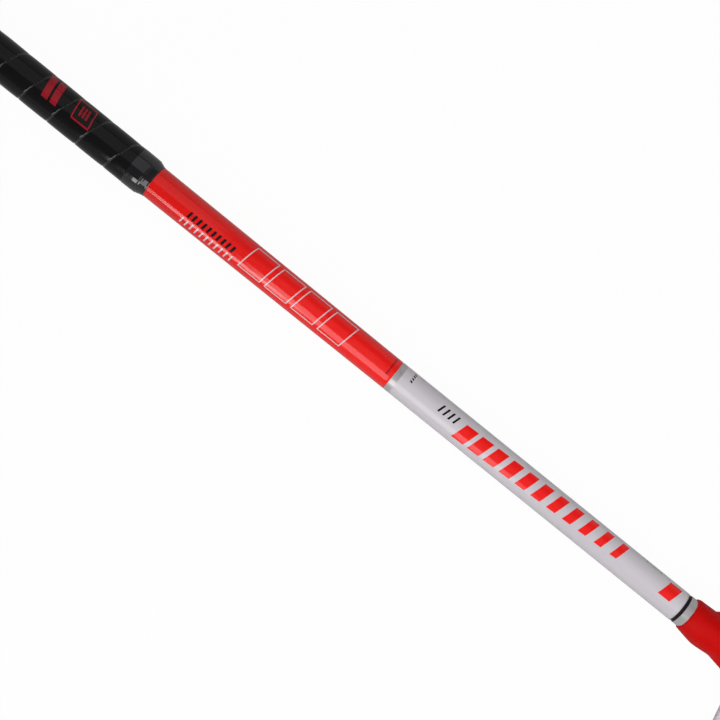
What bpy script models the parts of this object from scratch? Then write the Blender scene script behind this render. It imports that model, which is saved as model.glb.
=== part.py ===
"""Floorball stick: a tapered composite shaft with a wound grip, an end cap, two colour films and a
two-shot moulded blade. Metres, +Z up. The stick lies on its face: the shaft runs along +X to the
blade, the toe points to -Y, and the end cap, the neck and the toe rest on the plane Z = 0."""

import math

import bmesh
import bpy
import numpy as np
from mathutils import Matrix, Vector

# Stations are distances along the shaft from its butt end. Radii are outer radii.
CLEARANCE = 0.0003

# Shaft
SHAFT_LENGTH = 0.870
SHAFT_WALL = 0.0020
BUTT_RADIUS = 0.0140
TAPER_START = 0.150
TAPER_END = 0.535
WAIST_RADIUS = 0.0125
TIP_RADIUS = 0.01235

# Films and trim on the shaft
FILM_THICKNESS = 0.0003
WHITE_FILM_LENGTH = 0.2730
MID_BAND = 0.0052
RING_WIDTH = 0.0028
RING_THICKNESS = 0.0004
RING_SINK = 0.0004
LIP_BAND = 0.0046
FILM_LAP = 0.008

# Grip
GRIP_LENGTH = 0.3015
GRIP_THICKNESS = 0.00165
GRIP_PITCH = 0.0273
GRIP_SEAM_GAP = 0.0005
GRIP_EDGE = 0.0005
GRIP_SEAM_STATION = 0.2631
FINISH_WIDTH = 0.020
FINISH_THICKNESS = 0.0005
FINISH_CONE = 0.007
TAIL_THICKNESS = 0.0009

# End cap
CAP_RADIUS = 0.0166
CAP_FLANGE = 0.0050
CAP_ROUNDING = 0.0016
PLUG_LENGTH = 0.026
PLUG_WALL = 0.0030
PLUG_RIBS = 3
PLUG_RIB_DEPTH = 0.0010

# Neck: stations from the lip, then half widths to the toe side, the heel side and the faces
NECK_OVERLAP = 0.050
LIP_DIP = 0.0015
LIP_DIP_FLATNESS = 8
LIP_DIP_REACH = 0.012
NECK_SECTIONS = (
    (0.0000, 0.0130, 0.0130, 0.0130),
    (0.0010, 0.0135, 0.0137, 0.0137),
    (0.0030, 0.0139, 0.0143, 0.0143),
    (0.0070, 0.0146, 0.0144, 0.0150),
    (0.0110, 0.0153, 0.0146, 0.0159),
    (0.0170, 0.0161, 0.0149, 0.0166),
    (0.0246, 0.0156, 0.0149, 0.0164),
    (0.0311, 0.0149, 0.0148, 0.0160),
    (0.0400, 0.0148, 0.0147, 0.0154),
    (0.0500, 0.0146, 0.0146, 0.0147),
    (0.0560, 0.0138, 0.0138, 0.0128),
    (0.0650, 0.0120, 0.0120, 0.0086),
    (0.0730, 0.0100, 0.0100, 0.0056),
    (0.0800, 0.0080, 0.0080, 0.0040),
)

# Blade, seen from its face: heights are measured from the sole line, lengths from the heel line
LIE = math.radians(52)
BLADE_LENGTH = 0.250
BLADE_HEIGHT = 0.080
TOE_HEIGHT = 0.075
TOE_LEAN = 0.004
SOLE_ROCKER = 0.0025
HEEL_HEIGHT = 0.062
HEEL_STATION = 0.0195
HEEL_OFFSET = 0.0164
HEEL_RADIUS = 0.018
TOE_LOW_RADIUS = 0.030
TOE_HIGH_RADIUS = 0.040
RISE = math.radians(25)
RISE_RADIUS = 0.120
THROAT_STATION = 0.0598
THROAT_OFFSET = 0.0191
THROAT_FLARE = math.radians(9.5)
THROAT_RADIUS = 0.020
PLATE_INSIDE = 0.008

# Blade, rim and web
RIM_THICKNESS = 0.010
RIM_EDGE = 0.0016
SOLE_RIM = 0.009
TOE_RIM = 0.009
TOP_RIM = 0.008
WEB_THICKNESS = 0.005
WEB_EDGE = 0.0008
WEB_LAP = 0.002
POCKET_RADIUS = 0.006
RIB_WIDTH = 0.0032
RIB_LEAN = 0.010
HOLE_ROWS = 3
HOLE_COLUMNS = 9
HOLE_RADIUS = 0.003
HEEL_HOLE = ((0.012, 0.0095), (0.031, 0.0095), (0.012, 0.033))
HEEL_HOLE_RADIUS = 0.004

# Blade, the joint between its two shots
SEAM = 0.051
SEAM_LEAN = 0.25
POCKET_MARGIN = 0.010
TONGUE_LENGTH = 0.007
TONGUE_THICKNESS = 0.004
TONGUE_MARGIN = 0.006

# Blade, curve out of its plane
HOOK_START = 0.040
HOOK_DEPTH = 0.0146
SCOOP_DEPTH = 0.003
SCOOP_START = 0.060
SCOOP_FULL = 0.140

# Screws
SCREW_STATIONS = {"blade_screw_front": 0.015, "blade_screw_back": 0.036}
SCREW_SINK = 0.0006
SCREW_HEAD_RADIUS = 0.0034
SCREW_HEAD_DEPTH = 0.0022
SCREW_SHANK_RADIUS = 0.00175
SCREW_LENGTH = 0.0095
SCREW_POINT = 0.0013
RECESS_SPAN = 0.0036
RECESS_SLOT = 0.0007
RECESS_DEPTH = 0.0013

# Fineness and shading of the meshes
SIDES = 40
SCREW_SIDES = 24
GRIP_STEPS = 24
NECK_SIDES = 40
NECK_STEP = 0.004
ARC_STEP = math.radians(15)
HOLE_ARC_STEP = math.radians(40)
LONGEST_EDGE = 0.010
MERGE = 0.00001
CREASE = math.radians(38)
# Shares: of a side that its fillets may take up, and of the toe's height that no rib comes nearer its ends
FILLET_ROOM = 0.96
NEAR_END = 0.01

# Places that follow from the sizes
LIP = SHAFT_LENGTH - NECK_OVERLAP
RING_END = LIP - LIP_BAND
RING_START = RING_END - RING_WIDTH
WHITE_END = RING_START - CLEARANCE
WHITE_START = WHITE_END - WHITE_FILM_LENGTH
RED_END = WHITE_START - MID_BAND
FINISH_START = GRIP_LENGTH - FINISH_WIDTH
RED_START = GRIP_LENGTH - FILM_LAP
GRIP_END = RED_START - 2 * CLEARANCE
FILM_RECESS = FILM_THICKNESS + CLEARANCE
RING_RECESS = RING_SINK + RING_THICKNESS + CLEARANCE


def fresh_scene():
    for obj in list(bpy.data.objects):
        bpy.data.objects.remove(obj, do_unlink=True)


def new_collection(name):
    collection = bpy.data.collections.new(name)
    bpy.context.scene.collection.children.link(collection)
    return collection


def material(name, red, green, blue, roughness, metallic=0.0):
    """A Principled material from a colour as a screen shows it."""
    made = bpy.data.materials.new(name)
    made.use_nodes = True
    shader = made.node_tree.nodes["Principled BSDF"]
    linear = [(value + 0.055) ** 2.4 / 1.055**2.4 for value in (red, green, blue)]
    shader.inputs["Base Color"].default_value = (*linear, 1.0)
    shader.inputs["Roughness"].default_value = roughness
    shader.inputs["Metallic"].default_value = metallic
    return made


def place(obj, collection, parent, look=None):
    collection.objects.link(obj)
    obj.parent = parent
    if look:
        obj.data.materials.append(look)
    return obj


def as_cutter(obj):
    obj.hide_render = True
    obj.display_type = "WIRE"
    return obj


def boolean(obj, other, operation):
    modifier = obj.modifiers.new(f"{operation.lower()} {other.name}", "BOOLEAN")
    modifier.operation = operation
    modifier.object = other
    modifier.solver = "EXACT"
    return modifier


def crease_group():
    """Geometry nodes that shade a piece smooth and keep each edge bent past CREASE crisp."""
    group = bpy.data.node_groups.new("shade_by_angle", "GeometryNodeTree")
    for way in ("INPUT", "OUTPUT"):
        group.interface.new_socket("Geometry", in_out=way, socket_type="NodeSocketGeometry")
    start = group.nodes.new("NodeGroupInput")
    end = group.nodes.new("NodeGroupOutput")
    faces = group.nodes.new("GeometryNodeSetShadeSmooth")
    edges = group.nodes.new("GeometryNodeSetShadeSmooth")
    edges.domain = "EDGE"
    edges.inputs["Shade Smooth"].default_value = False
    angle = group.nodes.new("GeometryNodeInputMeshEdgeAngle")
    bent = group.nodes.new("FunctionNodeCompare")
    bent.operation = "GREATER_THAN"
    bent.inputs["B"].default_value = CREASE
    group.links.new(start.outputs["Geometry"], faces.inputs["Geometry"])
    group.links.new(faces.outputs["Geometry"], edges.inputs["Geometry"])
    group.links.new(angle.outputs["Unsigned Angle"], bent.inputs["A"])
    group.links.new(bent.outputs["Result"], edges.inputs["Selection"])
    group.links.new(edges.outputs["Geometry"], end.inputs["Geometry"])
    return group


# Turned pieces


def turned(name, profile, closed=True, sides=SIDES):
    """Revolves (radius, height) points round local Z. The profile runs down its outer side."""
    mesh = bpy.data.meshes.new(name)
    points = [(radius, 0.0, height) for radius, height in profile]
    edges = [(i, i + 1) for i in range(len(points) - 1)]
    if closed:
        edges.append((len(points) - 1, 0))
    mesh.from_pydata(points, edges, [])
    obj = bpy.data.objects.new(name, mesh)
    screw = obj.modifiers.new("turn", "SCREW")
    screw.axis = "Z"
    screw.steps = sides
    screw.render_steps = sides
    screw.use_merge_vertices = True
    screw.merge_threshold = MERGE
    return obj


def shaft_radius(station):
    stations = (0.0, TAPER_START, TAPER_END, SHAFT_LENGTH)
    radii = (BUTT_RADIUS, BUTT_RADIUS, WAIST_RADIUS, TIP_RADIUS)
    return float(np.interp(station, stations, radii))


def between(low, high):
    """The two stations with the taper's own stations that lie between them."""
    return [low, *(s for s in (TAPER_START, TAPER_END) if low < s < high), high]


def along_shaft(low, high, depth):
    """(radius, station) points that follow the shaft, at a depth under its surface."""
    return [(shaft_radius(s) - depth, s) for s in between(low, high)]


def sleeve(name, low, high, inner_depth, outer_depth):
    """A thin tube that follows the shaft's taper between two depths under its surface."""
    outer = along_shaft(low, high, outer_depth)[::-1]
    return turned(name, outer + along_shaft(low, high, inner_depth))


def make_shaft():
    """The tube, with shallow recesses for the two films and a groove for the ring."""
    outer = along_shaft(0.0, RED_START - CLEARANCE, 0.0)
    outer += along_shaft(RED_START - CLEARANCE, RED_END + CLEARANCE, FILM_RECESS)
    outer += along_shaft(RED_END + CLEARANCE, WHITE_START - CLEARANCE, 0.0)
    outer += along_shaft(WHITE_START - CLEARANCE, WHITE_END, FILM_RECESS)
    outer += along_shaft(WHITE_END, RING_END + CLEARANCE, RING_RECESS)
    outer += along_shaft(RING_END + CLEARANCE, SHAFT_LENGTH, 0.0)
    return turned("shaft", outer[::-1] + along_shaft(0.0, SHAFT_LENGTH, SHAFT_WALL))


def arc(centre, radius, start, end, steps=3):
    """Points on an arc in a profile, from one angle to another in degrees."""
    angles = np.radians(np.linspace(start, end, steps + 1))
    return [(centre[0] + radius * math.cos(a), centre[1] + radius * math.sin(a)) for a in angles]


def make_end_cap():
    """A rounded flange that closes the butt, and a hollow plug with grip ribs inside the tube."""
    core = CAP_RADIUS - CAP_ROUNDING
    plug = BUTT_RADIUS - SHAFT_WALL - CLEARANCE
    bottom = -CLEARANCE - CAP_FLANGE
    pitch = PLUG_LENGTH / (PLUG_RIBS + 1)
    profile = [(plug - PLUG_WALL, PLUG_LENGTH), (plug - PLUG_RIB_DEPTH, PLUG_LENGTH)]
    for rib in range(PLUG_RIBS, 0, -1):
        profile.append((plug, (rib + 0.20) * pitch))
        profile.append((plug, (rib - 0.05) * pitch))
        profile.append((plug - PLUG_RIB_DEPTH, (rib - 0.20) * pitch))
    profile.append((plug - PLUG_RIB_DEPTH, -CLEARANCE))
    profile += arc((core, -CLEARANCE - CAP_ROUNDING), CAP_ROUNDING, 90, 0)
    profile += arc((core, bottom + CAP_ROUNDING), CAP_ROUNDING, 0, -90)
    profile += [(0.0, bottom), (0.0, -CLEARANCE), (plug - PLUG_WALL, -CLEARANCE)]
    return turned("end_cap", profile, closed=True)


def tail_radius(station):
    """Outer radius of the grip's lower end, where the finishing tape squeezes it thin."""
    full = shaft_radius(station) + CLEARANCE + GRIP_THICKNESS
    thin = shaft_radius(station) + CLEARANCE + TAIL_THICKNESS
    share = (station - FINISH_START + CLEARANCE) / (2 * GRIP_THICKNESS)
    return full + (thin - full) * min(max(share, 0.0), 1.0)


def make_grip_envelope():
    """The turned shape that trims the wound tape: square at the butt and thin under its band."""
    beyond = BUTT_RADIUS + 2 * GRIP_THICKNESS
    squeezed = FINISH_START - CLEARANCE + 2 * GRIP_THICKNESS
    core = WAIST_RADIUS / 2
    profile = [(core, GRIP_END), (tail_radius(GRIP_END), GRIP_END)]
    profile += [(tail_radius(squeezed), squeezed)]
    profile += [(tail_radius(FINISH_START - CLEARANCE), FINISH_START - CLEARANCE)]
    profile += [(beyond, FINISH_START - CLEARANCE), (beyond, 0.0), (core, 0.0)]
    return turned("grip_envelope", profile)


def make_finishing_tape():
    """The band over the grip's thin end, with a short cone down to the shaft."""
    squeezed = FINISH_START + 2 * GRIP_THICKNESS
    step = GRIP_END + CLEARANCE
    inner = [(tail_radius(s) + CLEARANCE, s) for s in (FINISH_START, squeezed, GRIP_END)]
    inner += [(shaft_radius(s) + CLEARANCE, s) for s in (step, GRIP_LENGTH)]
    cone = GRIP_LENGTH - FINISH_CONE
    outer = [(shaft_radius(GRIP_LENGTH) + CLEARANCE + FINISH_THICKNESS, GRIP_LENGTH)]
    outer += [(tail_radius(cone) + CLEARANCE + FINISH_THICKNESS, cone)]
    outer += [(tail_radius(squeezed) + CLEARANCE + FINISH_THICKNESS, squeezed)]
    outer += [(tail_radius(FINISH_START) + CLEARANCE + FINISH_THICKNESS / 2, FINISH_START)]
    return turned("finishing_tape", outer + inner)


# Wound grip


def wound_strip():
    """The tape as one helix along the shaft: a chamfered strip section, spun and drawn along."""
    half = (GRIP_PITCH - GRIP_SEAM_GAP) / 2
    inner = BUTT_RADIUS + CLEARANCE
    outer = inner + GRIP_THICKNESS
    edge = GRIP_EDGE
    section = [(inner, -half), (inner, half), (outer - edge, half)]
    section += [(outer, half - edge), (outer, edge - half), (outer - edge, -half)]
    # A seam crosses the toe side, a quarter turn from local X, at GRIP_SEAM_STATION.
    first = (GRIP_SEAM_STATION - GRIP_PITCH / 4) % GRIP_PITCH - 1.5 * GRIP_PITCH
    turns = math.ceil(GRIP_END / GRIP_PITCH) + 3
    bm = bmesh.new()
    corners = [bm.verts.new((radius, 0.0, first + height)) for radius, height in section]
    for a, b in zip(corners, corners[1:] + corners[:1]):
        bm.edges.new((a, b))
    bmesh.ops.spin(
        bm,
        geom=bm.verts[:] + bm.edges[:],
        cent=(0, 0, 0),
        axis=(0, 0, 1),
        dvec=(0, 0, GRIP_PITCH / GRIP_STEPS),
        angle=-2 * math.pi * turns,
        steps=GRIP_STEPS * turns,
    )
    bmesh.ops.holes_fill(bm, edges=[edge for edge in bm.edges if edge.is_boundary])
    bmesh.ops.recalc_face_normals(bm, faces=bm.faces)
    for vert in bm.verts:
        across = math.hypot(vert.co.x, vert.co.y)
        factor = (across - BUTT_RADIUS + shaft_radius(vert.co.z)) / across
        vert.co.x *= factor
        vert.co.y *= factor
    return bm, len(section)


def least_gap_between_turns(bm, count):
    """The least distance from the tape's leading edge to its trailing edge one turn later."""
    points = np.array([vert.co[:] for vert in bm.verts]).reshape(-1, count, 3)
    leading = points[:, 1:4]
    trailing = np.concatenate([points[:, :1], points[:, 4:]], axis=1)
    least = math.inf
    for step in range(GRIP_STEPS // 2, GRIP_STEPS * 3 // 2):
        apart = leading[: len(points) - step, :, None] - trailing[step:, None]
        least = min(least, float(np.linalg.norm(apart, axis=-1).min()))
    return least


def make_grip(cutters, parent):
    bm, count = wound_strip()
    gap = least_gap_between_turns(bm, count)
    print(f"grip_tape: least gap between turns {gap * 1000:.2f} mm")
    mesh = bpy.data.meshes.new("grip_tape")
    bm.to_mesh(mesh)
    bm.free()
    obj = bpy.data.objects.new("grip_tape", mesh)
    envelope = as_cutter(place(make_grip_envelope(), cutters, parent))
    boolean(obj, envelope, "INTERSECT")
    return obj


# Outlines in the blade's plane: x from the heel line to the toe, y up from the sole line


def plan(station, side):
    """A place beside the neck, as its distance from the lip and to the toe side, on the plan."""
    along = station - HEEL_STATION
    across = side + HEEL_OFFSET
    x = along * math.cos(LIE) + across * math.sin(LIE)
    y = HEEL_HEIGHT - along * math.sin(LIE) + across * math.cos(LIE)
    return Vector((x, y))


def crossing(point_a, way_a, point_b, way_b):
    """Where two lines meet, each given by a point and a direction."""
    share = (point_b - point_a).cross(way_b) / way_a.cross(way_b)
    return point_a + way_a * share


def pieces(length, longest):
    """How many equal pieces of at most the longest size a length divides into."""
    return max(1, math.ceil(round(length / longest, 6)))


def rounded(corners, arc_step=ARC_STEP):
    """The outline of (corner, radius) pairs, with its arcs and its long edges divided."""
    places = [corner for corner, _ in corners]
    sides = [b - a for a, b in zip(places, places[1:] + places[:1])]
    halves = [(math.pi - before.angle(after)) / 2 for before, after in zip(sides[-1:] + sides, sides)]
    reaches = [radius / math.tan(half) for (_, radius), half in zip(corners, halves)]
    points = []
    for i, (corner, half) in enumerate(zip(places, halves)):
        if not reaches[i]:
            points.append(corner)
            continue
        # Two fillets that meet on a side share it.
        neighbours = ((sides[i - 1], i - 1), (sides[i], (i + 1) % len(corners)))
        shares = [side.length / (reaches[i] + reaches[other]) for side, other in neighbours]
        reach = reaches[i] * min(1.0, FILLET_ROOM * min(shares))
        back, ahead = -sides[i - 1].normalized(), sides[i].normalized()
        radius = reach * math.tan(half)
        centre = corner + (back + ahead).normalized() * radius / math.sin(half)
        start = corner + back * reach - centre
        sweep = math.pi - 2 * half
        steps = max(pieces(sweep, arc_step), pieces(sweep * radius, LONGEST_EDGE))
        if back.cross(ahead) > 0:
            sweep = -sweep
        turns = (Matrix.Rotation(sweep * k / steps, 2) for k in range(steps + 1))
        points += [centre + turn @ start for turn in turns]
    divided = []
    for a, b in zip(points, points[1:] + points[:1]):
        count = pieces((b - a).length, LONGEST_EDGE)
        divided += [a + (b - a) * k / count for k in range(count)]
    return divided


def inset(corners, widths, radii):
    """An anticlockwise outline's corners moved inwards, each edge by its own width."""
    lines = []
    for i, width in enumerate(widths):
        start, end = corners[i][0], corners[(i + 1) % len(corners)][0]
        way = (end - start).normalized()
        lines.append((start + Vector((-way.y, way.x)) * width, way))
    moved = []
    for i, radius in enumerate(radii):
        moved.append((crossing(*lines[i - 1], *lines[i]), radius))
    return moved


def rise_line():
    """The corner between the neck and the top edge, and the direction of the top edge there."""
    return plan(THROAT_STATION, THROAT_OFFSET), Vector((math.cos(RISE), math.sin(RISE)))


def seam_point(height, shift=0.0):
    return Vector((SEAM + SEAM_LEAN * height + shift, height))


def seam_top(shift):
    way = Vector((SEAM_LEAN, 1.0))
    return crossing(seam_point(0.0, shift), way, *rise_line())


def body_corners():
    """The pale body's outline, anticlockwise from the foot of the seam."""
    throat, way = rise_line()
    toe_top = Vector((BLADE_LENGTH - TOE_LEAN, TOE_HEIGHT))
    rise_end = throat + way * (BLADE_HEIGHT - throat.y) / way.y
    corners = [(seam_point(0.0), 0.0), (Vector((BLADE_LENGTH, 0.0)), TOE_LOW_RADIUS)]
    corners += [(toe_top, TOE_HIGH_RADIUS), (rise_end, RISE_RADIUS), (seam_top(0.0), 0.0)]
    return corners


def pocket_corners():
    """The outline inside the body's rim, where the web is."""
    widths = [SOLE_RIM, TOE_RIM, TOP_RIM, TOP_RIM, POCKET_MARGIN]
    radii = [POCKET_RADIUS, TOE_LOW_RADIUS - TOE_RIM, TOE_HIGH_RADIUS - TOE_RIM]
    radii += [RISE_RADIUS - TOP_RIM, POCKET_RADIUS]
    return inset(body_corners(), widths, radii)


def crossings(outline, axis, value):
    """Where an outline crosses x = value (axis 0) or y = value (axis 1), as other coordinates."""
    found = []
    for a, b in zip(outline, outline[1:] + outline[:1]):
        if (a[axis] - value) * (b[axis] - value) < 0:
            share = (value - a[axis]) / (b[axis] - a[axis])
            found.append(a[1 - axis] + (b[1 - axis] - a[1 - axis]) * share)
    return min(found), max(found)


def web_holes():
    """Rounded openings in rows and leaning columns that fan out with the blade."""
    corners = pocket_corners()
    pocket = rounded(corners)
    foot, head = corners[0][0], corners[-1][0]
    last_full = BLADE_LENGTH - TOE_RIM - TOE_HIGH_RADIUS
    toe_low, toe_high = crossings(pocket, 0, last_full)

    def node(column, row):
        across = column / HOLE_COLUMNS
        up = row / HOLE_ROWS
        left = foot.x + (head.x - foot.x) * up
        level = toe_low + (toe_high - toe_low) * min(max(up, NEAR_END), 1 - NEAR_END)
        right = crossings(pocket, 1, level)[1]
        x = left + (right - left) * across
        x += RIB_LEAN * (up - 0.5) * math.sin(math.pi * across)
        low, high = crossings(pocket, 0, min(max(x, head.x), last_full))
        return Vector((x, low + (high - low) * up))

    holes = []
    for column in range(HOLE_COLUMNS):
        for row in range(HOLE_ROWS):
            cell = [node(column, row), node(column + 1, row)]
            cell += [node(column + 1, row + 1), node(column, row + 1)]
            cell = inset([(corner, 0.0) for corner in cell], [RIB_WIDTH / 2] * 4, [HOLE_RADIUS] * 4)
            holes.append(rounded(cell, HOLE_ARC_STEP))
    return holes


def root_corners():
    """The red root's outline, anticlockwise from inside the neck down the heel."""
    throat, way = rise_line()
    inside = PLATE_INSIDE
    side = THROAT_OFFSET - (THROAT_STATION - inside) * math.tan(THROAT_FLARE)
    heel_top = Vector((0.0, HEEL_HEIGHT + (HEEL_STATION - inside) / math.sin(LIE)))
    corners = [(heel_top, 0.0), (Vector((0.0, 0.0)), HEEL_RADIUS)]
    corners += [(seam_point(0.0, -CLEARANCE), 0.0), (seam_top(-CLEARANCE), 0.0)]
    corners += [(throat, THROAT_RADIUS), (plan(inside, side), 0.0)]
    return corners


def tongue_corners(start, end, slack):
    """The tongue on the root, or with slack the slot that takes it."""
    low = TONGUE_MARGIN - slack
    high = seam_top(0.0).y - TONGUE_MARGIN + slack
    ends = [(low, start), (low, end + slack), (high, end + slack), (high, start)]
    return [(seam_point(height, shift), 0.0) for height, shift in ends]


# Shapes in the blade's plane made solid


def rocked(point):
    """Lifts an outline's point beside the sole towards the heel and the toe."""
    lift = SOLE_ROCKER * (2 * point.x / BLADE_LENGTH - 1) ** 2
    return point.x, point.y + lift * max(0.0, 1 - point.y / BLADE_HEIGHT)


def flat_piece(name, outlines, thickness, edge, collection, parent):
    """A flat mesh of the given thickness from closed outlines, the first one round the others."""
    curve = bpy.data.curves.new(name, "CURVE")
    curve.dimensions = "2D"
    curve.fill_mode = "BOTH"
    curve.extrude = thickness / 2 - edge
    curve.bevel_depth = edge
    curve.bevel_resolution = 0
    curve.offset = -edge
    for outline in outlines:
        spline = curve.splines.new("POLY")
        spline.points.add(len(outline) - 1)
        for point, place_on_plan in zip(spline.points, outline):
            point.co = (*rocked(place_on_plan), 0.0, 1.0)
        spline.use_cyclic_u = True
    source = bpy.data.objects.new(name, curve)
    collection.objects.link(source)
    graph = bpy.context.evaluated_depsgraph_get()
    mesh = bpy.data.meshes.new_from_object(source.evaluated_get(graph))
    bpy.data.objects.remove(source)
    bm = bmesh.new()
    bm.from_mesh(mesh)
    bmesh.ops.remove_doubles(bm, verts=bm.verts, dist=MERGE)
    bend(bm)
    bmesh.ops.recalc_face_normals(bm, faces=bm.faces)
    bm.to_mesh(mesh)
    bm.free()
    mesh.name = name
    made = bpy.data.objects.new(name, mesh)
    collection.objects.link(made)
    made.parent = parent
    return made


def bend(bm):
    """Curves a flat blade shape towards its front: the hook along it and the scoop across it."""
    middle = BLADE_HEIGHT / 2
    for vert in bm.verts:
        x, y, _ = vert.co
        hook = max(0.0, (x - HOOK_START) / (BLADE_LENGTH - HOOK_START)) ** 2
        share = min(max((x - SCOOP_START) / (SCOOP_FULL - SCOOP_START), 0.0), 1.0)
        ease = share * share * (3 - 2 * share)
        bulge = 1 - ((y - middle) / middle) ** 2
        vert.co.z += HOOK_DEPTH * hook - SCOOP_DEPTH * ease * bulge


def smooth_table(rows, station):
    """Reads a table of sections at any station, on smooth curves through its rows."""
    stations = np.array([row[0] for row in rows])
    values = np.array([row[1:] for row in rows])
    slopes = np.gradient(values, stations, axis=0)
    i = int(np.clip(np.searchsorted(stations, station) - 1, 0, len(rows) - 2))
    span = stations[i + 1] - stations[i]
    t = (station - stations[i]) / span
    start = values[i] * (1 + 2 * t) * (1 - t) ** 2 + slopes[i] * span * t * (1 - t) ** 2
    end = values[i + 1] * (3 - 2 * t) * t**2 - slopes[i + 1] * span * (1 - t) * t**2
    return start + end


def neck_ring(bm, station):
    """One section of the neck on the plan's axes. The lip dips towards the blade on both faces."""
    toe_side, heel_side, face = smooth_table(NECK_SECTIONS, station)
    ring = []
    fade = max(0.0, 1 - station / LIP_DIP_REACH)
    for i in range(NECK_SIDES):
        angle = 2 * math.pi * i / NECK_SIDES
        across = math.cos(angle) * (toe_side if math.cos(angle) > 0 else heel_side)
        up = math.sin(angle)
        dip = LIP_DIP * fade * (1 - math.cos(angle) ** LIP_DIP_FLATNESS)
        place_on_plan = plan(station + dip, across)
        ring.append(bm.verts.new((*place_on_plan, up * face)))
    return ring


def make_neck(collection, parent):
    """The neck and its spine: a loft of oval sections from the lip into the heel."""
    last = NECK_SECTIONS[-1][0]
    fine = [row[0] for row in NECK_SECTIONS]
    stations = [fine[0]]
    for low, high in zip(fine, fine[1:]):
        count = pieces(high - low, NECK_STEP)
        stations += [low + (high - low) * k / count for k in range(1, count + 1)]
    bm = bmesh.new()
    rings = [neck_ring(bm, station) for station in stations]
    for near, far in zip(rings, rings[1:]):
        for i in range(NECK_SIDES):
            j = (i + 1) % NECK_SIDES
            bm.faces.new((near[i], near[j], far[j], far[i]))
    for ring, station in ((rings[0], 0.0), (rings[-1], last)):
        middle = bm.verts.new((*plan(station, 0.0), 0.0))
        for i in range(NECK_SIDES):
            bm.faces.new((ring[i], ring[(i + 1) % NECK_SIDES], middle))
    bend(bm)
    bmesh.ops.recalc_face_normals(bm, faces=bm.faces)
    mesh = bpy.data.meshes.new("blade_neck")
    bm.to_mesh(mesh)
    bm.free()
    made = bpy.data.objects.new("blade_neck", mesh)
    collection.objects.link(made)
    made.parent = parent
    return made


def make_socket_cutter():
    """The bore that takes the shaft's lower end, with its clearance."""
    reach = SHAFT_LENGTH + CLEARANCE
    outer = [(TIP_RADIUS + CLEARANCE, reach), (shaft_radius(LIP) + CLEARANCE, LIP)]
    outer += [(shaft_radius(LIP) + CLEARANCE, LIP - LIP_BAND)]
    return turned("socket_cutter", [(0.0, reach), *outer, (0.0, LIP - LIP_BAND)], closed=False)


# Screws


def screw_profile(slack):
    """A countersunk screw, head up, or with slack the hole that takes it."""
    head = SCREW_HEAD_RADIUS + slack
    shank = SCREW_SHANK_RADIUS + slack
    top = 4 * SCREW_SINK if slack else 0.0
    profile = [(0.0, top), (head, top)]
    if slack:
        profile.append((head, 0.0))
    profile.append((shank, -SCREW_HEAD_DEPTH))
    profile.append((shank, SCREW_POINT - SCREW_LENGTH - slack))
    profile.append((0.0, -SCREW_LENGTH - slack))
    return profile


def make_screw(name, slack=0.0):
    return turned(name, screw_profile(slack), closed=False, sides=SCREW_SIDES)


def recess_bar(name, length, width):
    bm = bmesh.new()
    bmesh.ops.create_cube(bm, size=1.0)
    bmesh.ops.scale(bm, vec=(length, width, 2 * RECESS_DEPTH), verts=bm.verts)
    mesh = bpy.data.meshes.new(name)
    bm.to_mesh(mesh)
    bm.free()
    return bpy.data.objects.new(name, mesh)


def settle(root, parts):
    """Moves the whole stick so that the origin lies under the middle of its box, on the floor."""
    bpy.context.view_layer.update()
    graph = bpy.context.evaluated_depsgraph_get()
    corners = []
    for obj in parts:
        evaluated = obj.evaluated_get(graph)
        mesh = evaluated.to_mesh()
        points = np.array([(evaluated.matrix_world @ vert.co)[:] for vert in mesh.vertices])
        corners += [points.min(axis=0), points.max(axis=0)]
        evaluated.to_mesh_clear()
    low, high = np.min(corners, axis=0), np.max(corners, axis=0)
    middle = (low + high) / 2
    root.location -= Vector((middle[0], middle[1], low[2]))


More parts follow.
